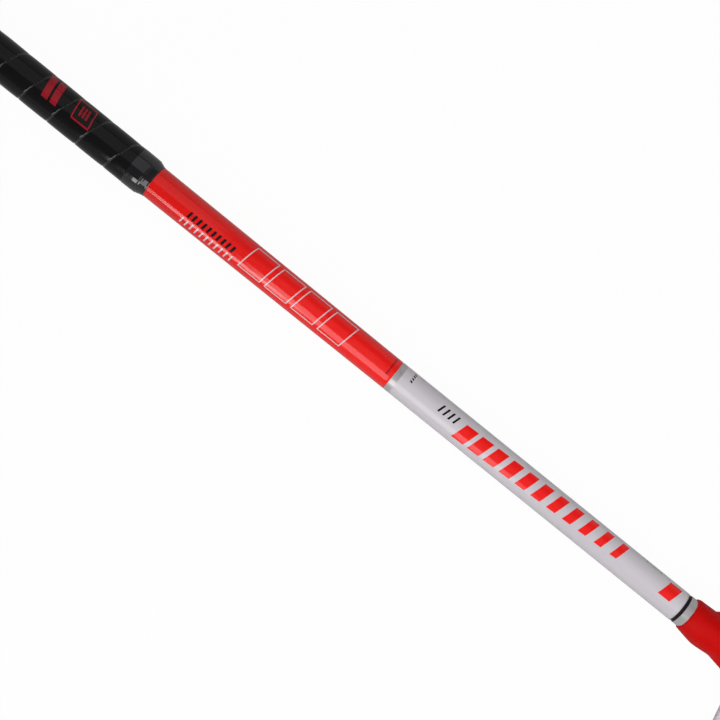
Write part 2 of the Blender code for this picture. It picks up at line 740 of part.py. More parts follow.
def main():
    fresh_scene()
    stick = new_collection("floorball_stick")
    cutters = new_collection("cutters")

    # The shaft's axis: local Z runs along +X to the blade, and local X points down.
    axis = bpy.data.objects.new("stick_axis", None)
    axis.rotation_euler = (0.0, math.pi / 2, 0.0)
    stick.objects.link(axis)

    # The blade's plan: local X to the toe, local Y from the sole to the top edge, local Z down.
    along = Vector((0.0, -math.sin(LIE), math.cos(LIE)))
    upwards = Vector((0.0, -math.cos(LIE), -math.sin(LIE)))
    facing = Vector((1.0, 0.0, 0.0))
    corner = Vector((0.0, HEEL_OFFSET, LIP + HEEL_STATION)) - upwards * HEEL_HEIGHT
    frame = Matrix((along, upwards, facing)).transposed().to_4x4()
    blade_plan = bpy.data.objects.new("blade_plan", None)
    blade_plan.matrix_local = Matrix.Translation(corner) @ frame
    blade_plan.parent = axis
    stick.objects.link(blade_plan)

    silver = material("silver_lacquer", 0.66, 0.66, 0.67, 0.35, 0.4)
    red_gloss = material("red_lacquer", 0.88, 0.11, 0.10, 0.20)
    white_gloss = material("white_lacquer", 0.86, 0.84, 0.87, 0.25)
    black_grip = material("grip_foam", 0.10, 0.10, 0.11, 0.55)
    black_tape = material("finishing_vinyl", 0.17, 0.17, 0.18, 0.30)
    black_rubber = material("cap_rubber", 0.07, 0.07, 0.08, 0.65)
    black_ring = material("ring_rubber", 0.09, 0.08, 0.09, 0.50)
    red_plastic = material("red_moulding", 0.82, 0.08, 0.07, 0.45)
    pale_plastic = material("pale_moulding", 0.80, 0.76, 0.79, 0.45)
    steel = material("zinc_steel", 0.70, 0.70, 0.68, 0.35, 1.0)

    shaft = place(make_shaft(), stick, axis, silver)
    red = sleeve("red_film", RED_START, RED_END, FILM_THICKNESS, 0.0)
    place(red, stick, axis, red_gloss)
    white = sleeve("white_film", WHITE_START, WHITE_END, FILM_THICKNESS, 0.0)
    place(white, stick, axis, white_gloss)
    ring = sleeve("trim_ring", RING_START, RING_END, RING_SINK + RING_THICKNESS, RING_SINK)
    place(ring, stick, axis, black_ring)
    place(make_grip(cutters, axis), stick, axis, black_grip)
    place(make_finishing_tape(), stick, axis, black_tape)
    place(make_end_cap(), stick, axis, black_rubber)

    body = [rounded(body_corners()), rounded(pocket_corners())[::-1]]
    blade = flat_piece("blade", body, RIM_THICKNESS, RIM_EDGE, stick, blade_plan)
    blade.data.materials.append(pale_plastic)
    along_pocket = len(pocket_corners())
    lap = inset(pocket_corners(), [-WEB_LAP] * along_pocket, [r for _, r in pocket_corners()])
    sheet = [rounded(lap)] + [hole[::-1] for hole in web_holes()]
    web = flat_piece("web", sheet, WEB_THICKNESS, WEB_EDGE, cutters, blade_plan)
    boolean(blade, as_cutter(web), "UNION")
    slot_outline = [point for point, _ in tongue_corners(-TONGUE_MARGIN, TONGUE_LENGTH, CLEARANCE)]
    slot_height = TONGUE_THICKNESS + 2 * CLEARANCE
    slot = flat_piece("slot_cutter", [slot_outline], slot_height, 0.0, cutters, blade_plan)
    boolean(blade, as_cutter(slot), "DIFFERENCE")

    neck = make_neck(stick, blade_plan)
    neck.data.materials.append(red_plastic)
    hole = [(Vector(point), HEEL_HOLE_RADIUS) for point in HEEL_HOLE]
    root_outlines = [rounded(root_corners()), rounded(hole)[::-1]]
    plate = flat_piece("root_plate", root_outlines, RIM_THICKNESS, RIM_EDGE, cutters, blade_plan)
    boolean(neck, as_cutter(plate), "UNION")
    tongue_outline = [point for point, _ in tongue_corners(-WEB_LAP, TONGUE_LENGTH, 0.0)]
    tongue = flat_piece("tongue", [tongue_outline], TONGUE_THICKNESS, 0.0, cutters, blade_plan)
    boolean(neck, as_cutter(tongue), "UNION")
    socket = as_cutter(place(make_socket_cutter(), cutters, axis))
    boolean(neck, socket, "DIFFERENCE")

    for name, station in SCREW_STATIONS.items():
        face = smooth_table(NECK_SECTIONS, station)[2] - SCREW_SINK
        screw = place(make_screw(name), stick, axis, steel)
        hole = as_cutter(place(make_screw(f"{name}_hole", CLEARANCE), cutters, axis))
        for obj in (screw, hole):
            obj.location = (face, 0.0, LIP + station)
            obj.rotation_euler = (0.0, math.pi / 2, 0.0)
        for way, size in (("a", (RECESS_SPAN, RECESS_SLOT)), ("b", (RECESS_SLOT, RECESS_SPAN))):
            bar = recess_bar(f"{name}_recess_{way}", *size)
            bar.location = screw.location
            bar.rotation_euler = screw.rotation_euler
            boolean(screw, as_cutter(place(bar, cutters, axis)), "DIFFERENCE")
        boolean(neck, hole, "DIFFERENCE")
        boolean(shaft, hole, "DIFFERENCE")

    parts = [obj for obj in stick.objects if obj.type == "MESH"]
    creases = crease_group()
    for obj in parts:
        obj.modifiers.new("shade by angle", "NODES").node_group = creases
    settle(axis, parts)


main()
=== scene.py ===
"""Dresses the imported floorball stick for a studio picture, as a set of add-on operators."""

import math
from typing import NamedTuple

import bmesh
import bpy
import numpy as np
from bpy.props import FloatProperty, FloatVectorProperty, IntProperty, PointerProperty
from mathutils import Matrix, Vector


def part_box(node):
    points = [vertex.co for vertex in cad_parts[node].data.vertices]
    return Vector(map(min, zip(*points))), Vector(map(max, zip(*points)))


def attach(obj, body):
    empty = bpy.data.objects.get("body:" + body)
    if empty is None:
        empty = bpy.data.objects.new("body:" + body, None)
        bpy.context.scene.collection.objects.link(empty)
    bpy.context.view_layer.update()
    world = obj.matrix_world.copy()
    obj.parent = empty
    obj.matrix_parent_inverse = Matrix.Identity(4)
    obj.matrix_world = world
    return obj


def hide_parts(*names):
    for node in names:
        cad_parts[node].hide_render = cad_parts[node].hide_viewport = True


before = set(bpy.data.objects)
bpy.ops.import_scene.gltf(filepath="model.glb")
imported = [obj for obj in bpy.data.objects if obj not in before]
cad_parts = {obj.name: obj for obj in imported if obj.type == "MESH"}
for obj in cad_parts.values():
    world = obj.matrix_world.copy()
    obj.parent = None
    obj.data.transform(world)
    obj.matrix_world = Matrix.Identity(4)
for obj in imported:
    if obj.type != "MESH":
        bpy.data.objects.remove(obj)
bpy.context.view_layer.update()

bl_info = {
    "name": "Floorball stick",
    "version": (1, 0, 0),
    "blender": (4, 5, 0),
    "location": "3D View > Sidebar > Stick",
    "description": "Surfaces, windings and studio of a floorball stick built round its packed solids",
    "category": "Object",
}

BODY = "root"
UP = Vector((0.0, 0.0, 1.0))
WHITE = (1.0, 1.0, 1.0, 1.0)
TURN = 2.0 * math.pi
BLADE_SCREWS = ("blade_screw_front", "blade_screw_back")

# Where the shaft lies: its solid starts at the butt and is round about this line
SHAFT_LOW, SHAFT_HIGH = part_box("shaft")
SHAFT_LENGTH = SHAFT_HIGH.x - SHAFT_LOW.x
BUTT_X = SHAFT_LOW.x
AXIS_Y = (SHAFT_LOW.y + SHAFT_HIGH.y) / 2
AXIS_Z = (SHAFT_LOW.z + SHAFT_HIGH.z) / 2

# Space between a piece and its recess, and how near points are that are joined after a cut
NEAR = 0.00002
MERGED = 0.000003


def span_of(node):
    """Where a piece's solid starts and ends, as distances from the butt."""
    low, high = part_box(node)
    return low.x - BUTT_X, high.x - BUTT_X


def kind(prop, **facts):
    """A way to write properties of one kind by their name, description and default."""
    return lambda name, description, default: prop(
        name=name, description=description, default=default, **facts
    )


metres = kind(FloatProperty, min=0.0, unit="LENGTH", precision=5)
colour = kind(FloatVectorProperty, size=3, min=0.0, max=1.0, subtype="COLOR")
share = kind(FloatProperty, min=0.0, max=1.0, subtype="FACTOR")
brightness = kind(FloatProperty, min=0.0)


class ShaftSizes(bpy.types.PropertyGroup):
    """Sizes of the tube and of what lies on it."""

    butt_radius: metres("Butt radius", "Radius of the upper end", (SHAFT_HIGH.z - SHAFT_LOW.z) / 2)
    waist_radius: metres("Waist radius", "Radius where the taper ends", 0.0125)
    tip_radius: metres("Tip radius", "Radius of the lower end", 0.01235)
    wall: metres("Wall", "Wall thickness of the tube", 0.002)
    taper_start: metres("Taper start", "Distance from the butt to the start of the taper", 0.150)
    taper_end: metres("Taper end", "Distance from the butt to the end of the taper", 0.535)
    film: metres("Film", "Thickness of a printed film", 0.0003)
    ring_sink: metres("Ring sink", "Depth of the black ring under the lacquer", 0.0004)
    ring: metres("Ring", "Thickness of the black ring", 0.0004)
    sides: IntProperty(name="Sides", description="Faces round a turned piece", default=128, min=24)
    steps: IntProperty(name="Steps", description="Faces along a turned piece", default=24, min=4)


class GripSizes(bpy.types.PropertyGroup):
    """Sizes of the wound tape and of the band that finishes it."""

    pitch: metres("Pitch", "Advance of the tape in one turn", 0.0273)
    seam: metres("Seam", "Distance from the butt to a seam on the toe side", 0.2631)
    gap: metres("Gap", "Width of the seam between two turns", 0.00012)
    thickness: metres("Thickness", "Thickness of the tape", 0.00165)
    edge: metres("Edge", "Reach of the tape's pressed edges", 0.0011)
    fall: metres("Fall", "How far the pressed edges sink", 0.0004)
    crown: metres("Crown", "How far the middle of the tape stands above its edges", 0.0002)
    clearance: metres("Clearance", "Space between the tape and the tube", 0.0003)
    tail: metres("Tail", "Thickness of the tape at its lower end, under its band", 0.0009)
    steps: IntProperty(name="Steps", description="Faces in one turn of the tape", default=72, min=24)
    band: metres("Band", "Thickness of the finishing tape", 0.0005)
    edge_height: metres("Edge height", "Height of the finishing tape's lower edge over the tube", 0.00028)


class CapSizes(bpy.types.PropertyGroup):
    """Sizes of the end cap and its plug."""

    rounding: metres("Rounding", "Radius of the cap's edges", 0.0016)
    dish: metres("Dish", "Depth of the dished end face", 0.0008)
    groove: metres("Groove", "Depth of the grooves between the beads", 0.00018)
    beads: IntProperty(name="Beads", description="Fine beads round the cap", default=3, min=1)
    plug_wall: metres("Plug wall", "Wall thickness of the plug", 0.003)
    rib_depth: metres("Rib depth", "How far the plug's ribs stand out", 0.001)
    ribs: IntProperty(name="Ribs", description="Ribs round the plug", default=3, min=1)


class BladeSizes(bpy.types.PropertyGroup):
    """Fineness of the moulded pieces."""

    voxel: metres("Voxel", "Grain of the pale body's mesh", 0.0008)
    neck_voxel: metres("Neck voxel", "Grain of the neck's mesh", 0.00055)
    lip_dip: metres("Lip dip", "How far the neck's lip dips on its two faces", 0.0015)
    socket: metres("Socket", "Radius of the socket at the lip", 0.01269)
    rounds: IntProperty(name="Rounds", description="Rounds of smoothing", default=6, min=0)


class ScrewSizes(bpy.types.PropertyGroup):
    """Sizes of a blade screw and of its seat in the neck."""

    head: metres("Head", "Radius of the countersunk head", 0.0034)
    rim: metres("Rim", "Height of the head's upright rim", 0.0002)
    head_depth: metres("Head depth", "Height of the head with its cone", 0.0022)
    shank: metres("Shank", "Radius at the roots of the thread", 0.00158)
    crest: metres("Crest", "Height of the thread", 0.00032)
    pitch: metres("Pitch", "Advance of the thread in one turn", 0.0012)
    point: metres("Point", "Length of the point", 0.0013)
    slot: metres("Slot", "Width of the recess", 0.0007)
    span: metres("Span", "Length of the recess across the head", 0.0036)
    recess: metres("Recess", "Depth of the recess", 0.0013)
    slack: metres("Slack", "Space round the screw in its seat", 0.0003)
    sink: metres("Sink", "Depth of the head under the neck's skin", 0.0006)
    sides: IntProperty(name="Sides", description="Faces round a screw", default=64, min=12)


class StickColours(bpy.types.PropertyGroup):
    """Colours of the finishes, as linear light."""

    silver: colour("Silver", "Bare lacquer of the tube", (0.52, 0.49, 0.495))
    red: colour("Red", "Red film and its printed bars", (0.84, 0.010, 0.008))
    white: colour("White", "Cool white film", (0.575, 0.543, 0.578))
    ink: colour("Ink", "Dark print", (0.012, 0.010, 0.012))
    pale_ink: colour("Pale ink", "Pale print on the red film", (0.62, 0.56, 0.58))
    grip: colour("Grip", "Wound tape", (0.0070, 0.0068, 0.0071))
    # Painted highlight: a lighter grey that stands in for light caught on the pressed edges at the seams
    seam: colour("Seam", "Pressed edges of the wound tape", (0.022, 0.0215, 0.022))
    grip_ink: colour("Grip ink", "Print on the wound tape", (0.34, 0.010, 0.020))
    vinyl: colour("Vinyl", "Finishing tape", (0.0105, 0.0095, 0.0115))
    rubber: colour("Rubber", "End cap and ring", (0.008, 0.007, 0.008))
    red_moulding: colour("Red moulding", "Neck and heel of the blade", (0.55, 0.0020, 0.0018))
    pale_moulding: colour("Pale moulding", "Body of the blade", (0.60, 0.54, 0.59))
    zinc: colour("Zinc", "Blade screws", (0.56, 0.55, 0.51))


class StudioSettings(bpy.types.PropertyGroup):
    """Camera, lamps and floor."""

    distance: metres("Camera distance", "Height of the camera over the shaft's axis", 1.4)
    lens: FloatProperty(name="Lens", description="Focal length in millimetres", default=92.4, min=1.0)
    turn: FloatProperty(
        name="Turn",
        description="Angle of the shaft under the picture's horizontal",
        default=math.radians(38.975),
        subtype="ANGLE",
    )
    upper_softbox: brightness("Upper softbox", "Brightness of the softbox beside the grip's end", 4.7)
    lower_softbox: brightness("Lower softbox", "Brightness of the softbox beside the films", 2.6)
    fill_panel: brightness("Fill panel", "Brightness of the panel over the grip", 0.40)
    blade_panel: brightness("Blade panel", "Brightness of the panel over the blade", 0.8)
    top_panel: brightness("Top panel", "Brightness of the overhead panel", 2.1)
    heel_panel: brightness("Heel panel", "Brightness of the panel beside the heel side", 0.8)
    horizon: brightness("Horizon", "Sky light near the horizon", 0.12)
    zenith: brightness("Zenith", "Sky light overhead", 0.05)
    floor: share("Floor", "How much of the floor's brightness is fixed white", 0.965)
    floor_mirrored: share("Floor mirrored", "Brightness of the floor as gloss reflects it", 0.40)


# Node trees


class Wire:
    """A node's output. Sums, products and tests of wires are written as Python arithmetic."""

    def __init__(self, sheet, socket):
        self.sheet = sheet
        self.socket = socket

    def math(self, operation, *values):
        return self.sheet.node("ShaderNodeMath", values, operation=operation)

    def __add__(self, other):
        return self.math("ADD", self, other)

    __radd__ = __add__

    def __sub__(self, other):
        return self.math("SUBTRACT", self, other)

    def __rsub__(self, other):
        return self.math("SUBTRACT", other, self)

    def __mul__(self, other):
        return self.math("MULTIPLY", self, other)

    __rmul__ = __mul__

    def __truediv__(self, other):
        return self.math("DIVIDE", self, other)

    def __pow__(self, other):
        return self.math("POWER", self, other)

    def __mod__(self, other):
        return self.math("FLOORED_MODULO", self, other)

    def __neg__(self):
        return self * -1.0

    def __abs__(self):
        return self.math("ABSOLUTE", self)

    def __gt__(self, other):
        return self.math("GREATER_THAN", self, other)

    def __lt__(self, other):
        return self.math("LESS_THAN", self, other)

    def at_least(self, other):
        return self.math("MAXIMUM", self, other)

    def at_most(self, other):
        return self.math("MINIMUM", self, other)

    def sine(self):
        return self.math("SINE", self)

    def cosine(self):
        return self.math("COSINE", self)

    def ramp(self, low, high, start=0.0, end=1.0, way="SMOOTHSTEP"):
        """Follows this value from low to high with a number from start to end."""
        values = {"Value": self, "From Min": low, "From Max": high, "To Min": start, "To Max": end}
        return self.sheet.node("ShaderNodeMapRange", values, interpolation_type=way)

    def line(self, low, high, start=0.0, end=1.0):
        """A ramp that is straight."""
        return self.ramp(low, high, start, end, "LINEAR")


class Sheet:
    """A node tree that grows by one method."""

    def __init__(self, tree):
        self.tree = tree

    def node(self, kind, inputs=(), output=0, **settings):
        """Adds a node: its settings are set first, then the values or links of its sockets."""
        made = self.tree.nodes.new(kind)
        for name, value in settings.items():
            setattr(made, name, value)
        for key, value in inputs.items() if isinstance(inputs, dict) else enumerate(inputs):
            socket = self.picked(made.inputs, key)
            for item in value if isinstance(value, list) else [value]:
                if isinstance(item, Wire):
                    self.tree.links.new(item.socket, socket)
                else:
                    socket.default_value = item
        return Wire(self, self.picked(made.outputs, output)) if made.outputs else made

    @staticmethod
    def picked(sockets, key):
        """A socket by its number, or by its name among those in use."""
        if isinstance(key, int):
            return sockets[key]
        return next(socket for socket in sockets if socket.name == key and socket.enabled)

    def vector(self, x, y, z):
        return self.node("ShaderNodeCombineXYZ", [x, y, z])

    def parts(self, vector):
        split = self.node("ShaderNodeSeparateXYZ", [vector])
        return [Wire(self, output) for output in split.socket.node.outputs]


class Finish(Sheet):
    """A material whose Principled shader is fed from Object coordinates."""

    def __init__(self, slot, **constants):
        self.slot = slot
        self.material = bpy.data.materials.new(slot)
        self.material.use_nodes = True
        super().__init__(self.material.node_tree)
        self.shader = self.tree.nodes["Principled BSDF"]
        for name, value in constants.items():
            self.shader.inputs[name.replace("_", " ")].default_value = value
        self.place = self.node("ShaderNodeTexCoord", output="Object")
        self.x, self.y, self.z = self.parts(self.place)

    def feed(self, **wires):
        """Links values to the shader's sockets."""
        for name, wire in wires.items():
            self.tree.links.new(wire.socket, self.shader.inputs[name.replace("_", " ")])

    def noise(self, scale, detail=2.0, roughness=0.5, stretch=None):
        """Noise over the piece, whose coordinates a stretch scales by a factor on each axis."""
        place = self.place
        if stretch:
            place = self.node("ShaderNodeVectorMath", [place, stretch], operation="MULTIPLY")
        values = {"Vector": place, "Scale": scale, "Detail": detail, "Roughness": roughness}
        return self.node("ShaderNodeTexNoise", values)

    def mix(self, factor, base, over):
        """One colour over another."""
        base, over = [tone if isinstance(tone, Wire) else (*tone, 1.0) for tone in (base, over)]
        values = {"Factor": factor, "A": base, "B": over}
        return self.node("ShaderNodeMix", values, "Result", data_type="RGBA")

    def shades(self, factor, tone, low, high=1.0):
        """A colour that varies between two of its own shades."""
        return self.mix(factor, [low * part for part in tone], [high * part for part in tone])

    def bump(self, height, distance, strength):
        """Feeds the shader's normal from a height."""
        values = {"Height": height, "Distance": distance, "Strength": strength}
        self.feed(Normal=self.node("ShaderNodeBump", values))

    def round_shaft(self):
        """Distance along the shaft from the butt, and along its skin from the top to the toe side."""
        radius = bpy.context.scene.shaft_sizes.waist_radius
        angle = self.x.math("ARCTAN2", AXIS_Y - self.y, self.z - AXIS_Z)
        return self.x - BUTT_X, angle * radius


# Meshes


def linked(name, data):
    obj = bpy.data.objects.new(name, data)
    bpy.context.scene.collection.objects.link(obj)
    return obj


def applied(obj):
    """Works the piece's modifiers into its mesh."""
    graph = bpy.context.evaluated_depsgraph_get()
    mesh = bpy.data.meshes.new_from_object(obj.evaluated_get(graph), depsgraph=graph)
    obj.modifiers.clear()
    obj.data = mesh
    return obj


def closed_up(mesh, merge=1e-7, cut=False):
    """Joins a mesh's doubled points, closes its holes and turns its faces outwards."""
    bm = bmesh.new()
    bm.from_mesh(mesh)
    bmesh.ops.remove_doubles(bm, verts=bm.verts, dist=merge)
    bmesh.ops.dissolve_degenerate(bm, edges=bm.edges, dist=merge)
    if cut:
        # A cut can leave pairs of faces back to back, with nothing between them.
        bmesh.ops.triangulate(bm, faces=bm.faces)
        twins = {}
        for face in bm.faces:
            twins.setdefault(frozenset(face.verts), []).append(face)
        flaps = [face for pair in twins.values() if len(pair) > 1 for face in pair]
        bmesh.ops.delete(bm, geom=flaps, context="FACES")
    bmesh.ops.holes_fill(bm, edges=[edge for edge in bm.edges if edge.is_boundary])
    bmesh.ops.recalc_face_normals(bm, faces=bm.faces)
    if bm.calc_volume(signed=True) < 0.0:
        bmesh.ops.reverse_faces(bm, faces=bm.faces)
    bm.to_mesh(mesh)
    bm.free()
    mesh.update()
    return mesh


def shade(mesh, crease=math.radians(35)):
    """Smooth faces with crisp edges past the crease angle."""
    mesh.polygons.foreach_set("use_smooth", [True] * len(mesh.polygons))
    mesh.set_sharp_from_angle(angle=crease)
    return mesh


def mended(obj):
    """Closes a piece again where it was cut, and keeps the cut's edges crisp."""
    shade(closed_up(obj.data, MERGED, cut=True), math.radians(50))


def combined(obj, other, operation):
    """Joins or cuts a piece with another one, which is used up."""
    modifier = obj.modifiers.new(operation.lower(), "BOOLEAN")
    modifier.operation = operation
    modifier.object = other
    modifier.solver = "EXACT"
    applied(obj)
    bpy.data.objects.remove(other)


def settle(obj, finish, *nodes):
    """Gives a piece its material and its body, in place of its solids."""
    obj.data.materials.clear()
    obj.data.materials.append(finish.material)
    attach(obj, BODY)
    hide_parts(*nodes)


def about_axis(x, turn, radius):
    """Points about the shaft's axis, with turns from the top to the toe side."""
    side, height = AXIS_Y - np.sin(turn) * radius, AXIS_Z + np.cos(turn) * radius
    return np.stack(np.broadcast_arrays(x, side, height), axis=-1)


def revolved(name, profile, sides, upright=None):
    """Turns a closed loop of (distance, radius) points about the shaft, or upright over a place."""
    turn = np.linspace(0.0, TURN, sides, endpoint=False)[:, None]
    along, radius = np.array(profile).T
    if upright is None:
        return skinned(name, about_axis(BUTT_X + along, turn, radius))
    x, y = upright.x + np.cos(turn) * radius, upright.y + np.sin(turn) * radius
    return skinned(name, np.stack(np.broadcast_arrays(x, y, upright.z + along), axis=-1))


def skinned(name, points):
    """A mesh over a grid of points that closes both ways."""
    index = np.arange(points[..., 0].size).reshape(points.shape[:2])
    after = np.roll(index, -1, axis=1)
    corners = (index, after, np.roll(after, -1, axis=0), np.roll(index, -1, axis=0))
    faces = np.stack(corners, axis=-1).reshape(-1, 4).tolist()
    mesh = bpy.data.meshes.new(name)
    mesh.from_pydata(points.reshape(-1, 3).tolist(), [], faces)
    return linked(name, shade(closed_up(mesh)))


def tube_radius(along):
    """Radius of the tube at distances from its butt."""
    sizes = bpy.context.scene.shaft_sizes
    stations = (0.0, sizes.taper_start, sizes.taper_end, SHAFT_LENGTH)
    radii = (sizes.butt_radius, sizes.butt_radius, sizes.waist_radius, sizes.tip_radius)
    return np.interp(along, stations, radii)


# Geometry trees


class Growth(Sheet):
    """A Geometry Nodes tree with named inputs."""

    def __init__(self, name):
        super().__init__(bpy.data.node_groups.new(name, "GeometryNodeTree"))
        self.tree.interface.new_socket("Geometry", in_out="OUTPUT", socket_type="NodeSocketGeometry")
        self.inlet = self.tree.nodes.new("NodeGroupInput")
        self.values = {}

    def size(self, name, value, kind="Float"):
        """Adds a named input, keeps its value for the modifier and returns it."""
        socket = self.tree.interface.new_socket(name, in_out="INPUT", socket_type=f"NodeSocket{kind}")
        self.values[socket.identifier] = value
        return Wire(self, next(s for s in self.inlet.outputs if s.identifier == socket.identifier))

    def close(self, geometry):
        """Ends the tree with Realize Instances and Set Material."""
        real = self.node("GeometryNodeRealizeInstances", {"Geometry": geometry})
        finish = self.size("Material", None, "Material")
        done = self.node("GeometryNodeSetMaterial", {"Geometry": real, "Material": finish})
        self.node("NodeGroupOutput", {"Geometry": done})

    def grow(self, name, finish):
        """Runs the tree on an empty mesh and returns the plain piece."""
        host = linked(name, bpy.data.meshes.new(name))
        modifier = host.modifiers.new(self.tree.name, "NODES")
        modifier.node_group = self.tree
        for identifier, value in self.values.items():
            modifier[identifier] = finish.material if value is None else value
        return applied(host)

    def sizes(self, group, *names):
        """Adds a named input for each of a group's sizes."""
        return [self.size(name.replace("_", " ").title(), getattr(group, name)) for name in names]

    def taper(self, along):
        """Radius of the tube at a distance from its butt."""
        names = ("butt_radius", "waist_radius", "tip_radius", "taper_start", "taper_end")
        butt, waist, tip, first, last = self.sizes(bpy.context.scene.shaft_sizes, *names)
        end = self.size("Length", SHAFT_LENGTH)
        return along.line(first, last, butt, waist) + along.line(last, end, 0.0, tip - waist)

    def lattice(self, across, along):
        """A grid of points, with each point's two shares from 0 to 1."""
        values = {"Size X": 1.0, "Size Y": 1.0, "Vertices X": along, "Vertices Y": across}
        grid = self.node("GeometryNodeMeshGrid", values, "Mesh")
        x, y, _ = self.parts(self.node("GeometryNodeInputPosition"))
        return grid, y + 0.5, x + 0.5

    def lay(self, grid, along, radius, angle):
        """Puts the grid's points round the shaft; angles run from the toe side over the top."""
        side, height = AXIS_Y - radius * angle.cosine(), AXIS_Z + radius * angle.sine()
        return self.moved(grid, self.vector(along + BUTT_X, side, height))

    def moved(self, grid, place):
        return self.node("GeometryNodeSetPosition", {"Geometry": grid, "Position": place})


def sleeve(name, node, outer, inner, finish):
    """A thin tube in a solid's place on the shaft, between two depths under the lacquer."""
    sizes = bpy.context.scene.shaft_sizes
    start, end = span_of(node)
    tree = Growth(name)
    first, last = tree.size("Start", start + NEAR), tree.size("End", end - NEAR)
    skin, core = tree.size("Outer Depth", outer), tree.size("Inner Depth", inner)
    sides = tree.size("Sides", sizes.sides + 1, "Int")
    around = tree.size("Section Points", 2 * sizes.steps + 3, "Int")
    grid, across, turn = tree.lattice(around, sides)
    outward = across < 0.5
    run = outward * (across * 2.0) + (1.0 - outward) * ((1.0 - across) * 2.0)
    along = first + (last - first) * (0.5 - 0.5 * (run * math.pi).cosine())
    depth = core + outward * (skin - core)
    tree.close(tree.lay(grid, along, tree.taper(along) - depth, turn * TURN))
    obj = tree.grow(name, finish)
    shade(closed_up(obj.data))
    settle(obj, finish, node)


# Finishes


class Row(NamedTuple):
    """A printed row of like slanted bars, or of their outlines."""

    start: float
    count: int
    pitch: float
    length: float
    middle: float
    height: float
    slant: float = 0.0
    outline: float = 0.0
    strength: float = 1.0

    def inside(self, along, across):
        """The row's strength inside its bars, or on their outlines."""
        lean = along - self.start - (across - self.middle) * self.slant
        row = (lean > 0.0) * (lean < self.count * self.pitch) * self.strength
        bars = row * (lean % self.pitch < self.length) * (abs(across - self.middle) < self.height / 2)
        if not self.outline:
            return bars
        start, length = self.start + self.outline, self.length - 2 * self.outline
        height = self.height - 2 * self.outline
        inner = self._replace(start=start, length=length, height=height, outline=0.0, strength=1.0)
        return bars * (1.0 - inner.inside(along, across))


# Rows along the shaft, from the butt along it and from the top round it
RED_PALE = (
    Row(0.3925, 4, 0.0255, 0.0215, -0.0012, 0.0225, slant=-0.2, outline=0.0009),
    Row(0.3355, 11, 0.0047, 0.0013, 0.0096, 0.0060, slant=-0.2),
)
RED_DARK = (Row(0.3385, 10, 0.0046, 0.0022, 0.0023, 0.0052, slant=-0.2),)
WHITE_RED = (Row(0.7930, 1, 0.0110, 0.0110, -0.0053, 0.0145, slant=-0.3),)
WHITE_DARK = (
    Row(0.5770, 4, 0.0048, 0.0017, -0.0036, 0.0070, slant=-0.3),
    Row(0.77125, 1, 0.0145, 0.0145, -0.0158, 0.0046, outline=0.0005, strength=0.8),
)
GRIP_RED = (
    Row(0.1945, 2, 0.0080, 0.0058, -0.0060, 0.0165, slant=0.25),
    Row(0.2220, 1, 0.0170, 0.0170, -0.0060, 0.0150, slant=0.25, outline=0.0011),
    Row(0.2266, 3, 0.0030, 0.0019, -0.0060, 0.0070, slant=0.25, strength=0.8),
)

# Rows of fine ticks that run round the shaft
RED_FINE = (Row(-0.0140, 9, 0.0019, 0.0014, 0.5290, 0.0015, strength=0.75),)
WHITE_FINE = (Row(-0.0135, 4, 0.0026, 0.0014, 0.5475, 0.0022, slant=0.3),)


def printed(rows, along, across, mask=0.0):
    """Lays rows of print over a mask."""
    for row in rows:
        mask = row.inside(along, across).at_least(mask)
    return mask


def lacquered(name, least=0.11, most=0.18, **constants):
    """Gloss over a coloured layer, with a faint orange peel and fine handling marks."""
    finish = Finish(name, IOR=1.5, **constants)
    peel = finish.noise(420.0, stretch=(0.6, 1.0, 1.0))
    fibre = finish.noise(900.0, 1.0, stretch=(0.05, 1.0, 1.0))
    finish.bump(peel + fibre * 0.35, 0.00002, 0.15)
    smears = finish.noise(55.0, 3.0, stretch=(0.25, 1.0, 1.0))
    finish.feed(Roughness=smears.ramp(0.35, 0.75, least, most))
    return finish


def red_film_finish():
    """Red lacquer with painted shade that darkens it towards the grip, with four pale frames and rows of
    ticks.
    """
    colours = bpy.context.scene.stick_colours
    finish = lacquered("red_lacquer")
    along, across = finish.round_shaft()
    tone = finish.noise(30.0, 3.0, stretch=(0.3, 1.0, 1.0))
    base = finish.shades(tone.ramp(0.3, 0.7), colours.red, 0.96)
    # Painted shade: the red is darkened towards the grip's end, where the lamps give less light.
    painted_shade_towards_grip = along.ramp(span_of("red_film")[0], 0.45, 0.88, 1.0)
    base = finish.mix(painted_shade_towards_grip, (0.0, 0.0, 0.0), base)
    base = finish.mix(printed(RED_PALE, along, across), base, colours.pale_ink)
    dark = printed(RED_FINE, across, along, printed(RED_DARK, along, across))
    finish.feed(Base_Color=finish.mix(dark, base, colours.ink))
    return finish


def white_film_finish():
    """Cool white lacquer with a row of red bars that shorten towards the blade, and dark ticks."""
    colours = bpy.context.scene.stick_colours
    finish = lacquered("white_lacquer")
    along, across = finish.round_shaft()
    tone = finish.noise(26.0, 3.0, stretch=(0.3, 1.0, 1.0))
    base = finish.shades(tone.ramp(0.3, 0.7), colours.white, 0.96)
    start, count, pitch, length, shortening, height = 0.5985, 11, 0.0148, 0.0115, 0.034, 0.0150
    level = across - (0.0277 - 0.0442 * along)
    run = along - start + level * 0.3
    row = (run > 0.0) * (run < count * pitch) * (abs(level) < height / 2)
    red = printed(WHITE_RED, along, across, row * (run % pitch < length - shortening * run))
    base = finish.mix(red, base, colours.red)
    dark = printed(WHITE_FINE, across, along, printed(WHITE_DARK, along, across))
    finish.feed(Base_Color=finish.mix(dark, base, colours.ink))
    return finish


def silver_finish():
    """Bare lacquer with fine metal flake."""
    finish = lacquered("silver_lacquer", 0.30, 0.38, Metallic=0.45, Coat_Weight=0.25, Coat_Roughness=0.1)
    flake = finish.noise(2600.0, 1.0)
    silver = bpy.context.scene.stick_colours.silver
    finish.feed(Base_Color=finish.shades(flake.ramp(0.35, 0.7), silver, 0.9, 1.06))
    return finish


